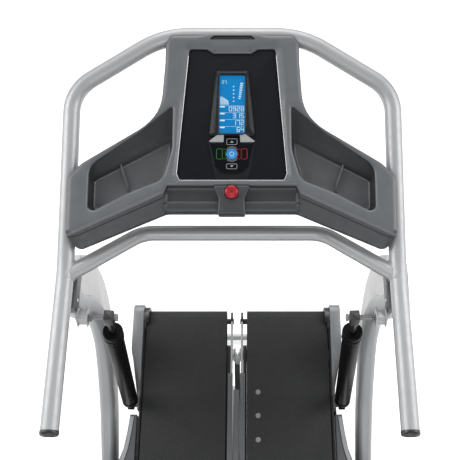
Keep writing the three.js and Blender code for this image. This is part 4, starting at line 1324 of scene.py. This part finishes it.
def build_keypad():
    on_console("keypad_face", keypad_face(), GLOSS_BLACK, "keypad_plate", weld=True)
    for name, (x, y, width, height) in KEYS.items():
        cap = slab(box_outline(width, height, 3, x, y), KEY_BASE, KEY_TOP, 0.8)
        on_console(f"{name}_cap", cap, GLOSS_BLACK, name, name)
        on_console(f"{name}_print", key_print(name, x, y, width, height),
                   INKS.get(name, GLOWING_PRINT_WHITE), body=name)
    on_console("keypad_arcs", keypad_arcs(), GLOWING_PRINT_WHITE)
    on_console("start_brace", brace(180, -19.4, -9.4), GLOWING_PRINT_GREEN)
    on_console("stop_brace", brace(0, 9.4, 19.4), GLOWING_PRINT_RED)
    enter = turned([(0, KEY_BASE), (12, KEY_BASE), (12, -4.6), (11.2, -3.8), (9.6, -3.6), (9, -4),
                    (0, -4)])
    on_console("enter_cap", enter.moved(shift(0, ENTER_Y)), KEY_BLUE, "enter_key", "enter_key")
    mark = edge_strip(circle(5, 32, 0, ENTER_Y), 0.9, -4.05, -3.8)
    on_console("enter_print", mark, DIGIT_WHITE, body="enter_key")


def button_housing():
    """Flared block in the middle of the fascia that carries the stop button."""
    points = outline([(-30, -408, 4), (30, -408, 4), (28, -374, 14), (42, -345, 5), (-42, -345, 5),
                      (-28, -374, 14)])
    return slab(divided(points, 8), -SHELL_DEPTH + 2, 0.4, 4.5, 5)


def build_stop_button():
    """A red mushroom button with a dished face and an arrow, in a black collar."""
    at = shift(0, BUTTON_Y)
    near, far = BUTTON_R + 0.7, BUTTON_R + 3
    collar = ring_turned([(near, -6), (far, -6), (far, 0.6), (BUTTON_R + 2.2, 1.2), (near, 1)])
    button = turned([(0, -9), (8, -9), (8, -3), (13.2, -3), (14.2, -2.4), (BUTTON_R, -1.2),
                     (BUTTON_R, 2.6), (14, 4.8), (12.6, 6.8), (10.8, 7.7), (9.2, 7.6), (7, 6.9),
                     (3.5, 6.2), (0, 6)], 64)
    arrow = slab([(-2.6, 1.6), (0, -2.6), (2.6, 1.6)], 5.6, 6.5, 0.1)
    on_console("button_housing", button_housing(), SHELL_DARK)
    on_console("button_collar", collar.moved(at), CAP_BLACK)
    on_console("stop_button", button.moved(at), RED, "safety_stop_button", "safety_stop_button")
    on_console("stop_button_mark", arrow.moved(at), CAP_BLACK, body="safety_stop_button")


def build_console():
    on_console("console_body", console_shell(), SHELL_FINISHES, "console_shell", weld=True)
    on_console("tray_ribs", tray_ribs(), SHELL_GREY)
    dressed("console_back_cover", BACK_DARK, 3)
    plate = slab(inset(panel_edge(10), 0.3), -PANEL_DEPTH - 4.7, -PANEL_DEPTH, 0.4)
    on_console("panel_plate", plate, PANEL_BLACK, "instrument_panel")
    on_console("panel_trim", panel_trim(), SILVER_TRIM_HIGHLIGHT)
    tongue = slab(divided(outline(TONGUE), 8), -PANEL_DEPTH - 0.5, -PANEL_DEPTH + 0.25, 0.2)
    on_console("keypad_tongue", tongue, TONGUE_DARK)
    on_console("display_frame", bezel(), BEZEL_DARK, "screen_bezel")
    on_console("display_sill", sill(), SILVER)
    glass = slab(box_outline(57.2, 136.2, 0.6, 0, -159.5), PANEL_TOP, -4, 0.3)
    on_console("display_glass", glass, SCREEN_BLUE, "lcd_screen")
    on_console("display_figures", display(), DIGIT_WHITE)
    build_keypad()
    build_stop_button()


# ---- studio
def camera():
    data = bpy.data.cameras.new("camera")
    data.sensor_width = 36
    data.lens = 59.5
    data.shift_x = -0.0478
    made = added("camera", data)
    made.location = (0.044, cad_low.y - 0.445, cad_high.z + 0.9216)
    made.rotation_euler = (math.radians(44), 0, 0)
    bpy.context.scene.camera = made


def softbox(name, at, toward, size, power):
    data = bpy.data.lights.new(name, "AREA")
    data.shape = "RECTANGLE"
    data.size, data.size_y = size
    data.energy = power
    made = added(name, data)
    made.location = at
    made.rotation_euler = (Vector(toward) - Vector(at)).to_track_quat("-Z", "Y").to_euler()


def overhead(power, spread, tilt):
    """Even light over the whole floor, from above and behind."""
    data = bpy.data.lights.new("overhead_light", "SUN")
    data.energy = power
    data.angle = math.radians(spread)
    added("overhead_light", data).rotation_euler = (math.radians(-tilt), 0, 0)


def ground(half):
    """A plain white floor, this many metres to each side."""
    white = Finish("floor_white", (0.86, 0.86, 0.86), roughness=0.8, specular=0.0)
    white.glow((1, 1, 1), 0.12)
    white.mottle(white.noise(3, 2), 0.005)
    mesh = bpy.data.meshes.new("floor")
    mesh.from_pydata([(-half, -half, 0), (half, -half, 0), (half, half, 0), (-half, half, 0)], [],
                     [(0, 1, 2, 3)])
    mesh.materials.append(white.material)
    added("floor", mesh)


def studio():
    ground(14)
    world = bpy.data.worlds.new("studio")
    bpy.context.scene.world = world
    world.use_nodes = True
    sky = world.node_tree.nodes["Background"].inputs
    sky["Color"].default_value = (1, 1, 1, 1)
    sky["Strength"].default_value = 0.5
    softbox("left_light", (-3.2, 0.2, 3.0), (0, 0, 0.6), (1.8, 3.4), 120)
    softbox("right_light", (3.3, 0.2, 2.8), (0, 0, 0.6), (1.8, 3.4), 110)
    softbox("front_light", (0, -3.6, 2.2), (0, 0, 0.7), (3.4, 1.2), 60)
    overhead(2.4, 50, 35)
    view = bpy.context.scene.view_settings
    view.view_transform = "Standard"
    view.look = "None"


camera()
build_handrail()
build_legs()
build_cylinders()
build_treadles()
build_drive()
build_base()
build_covers()
build_console()
studio()
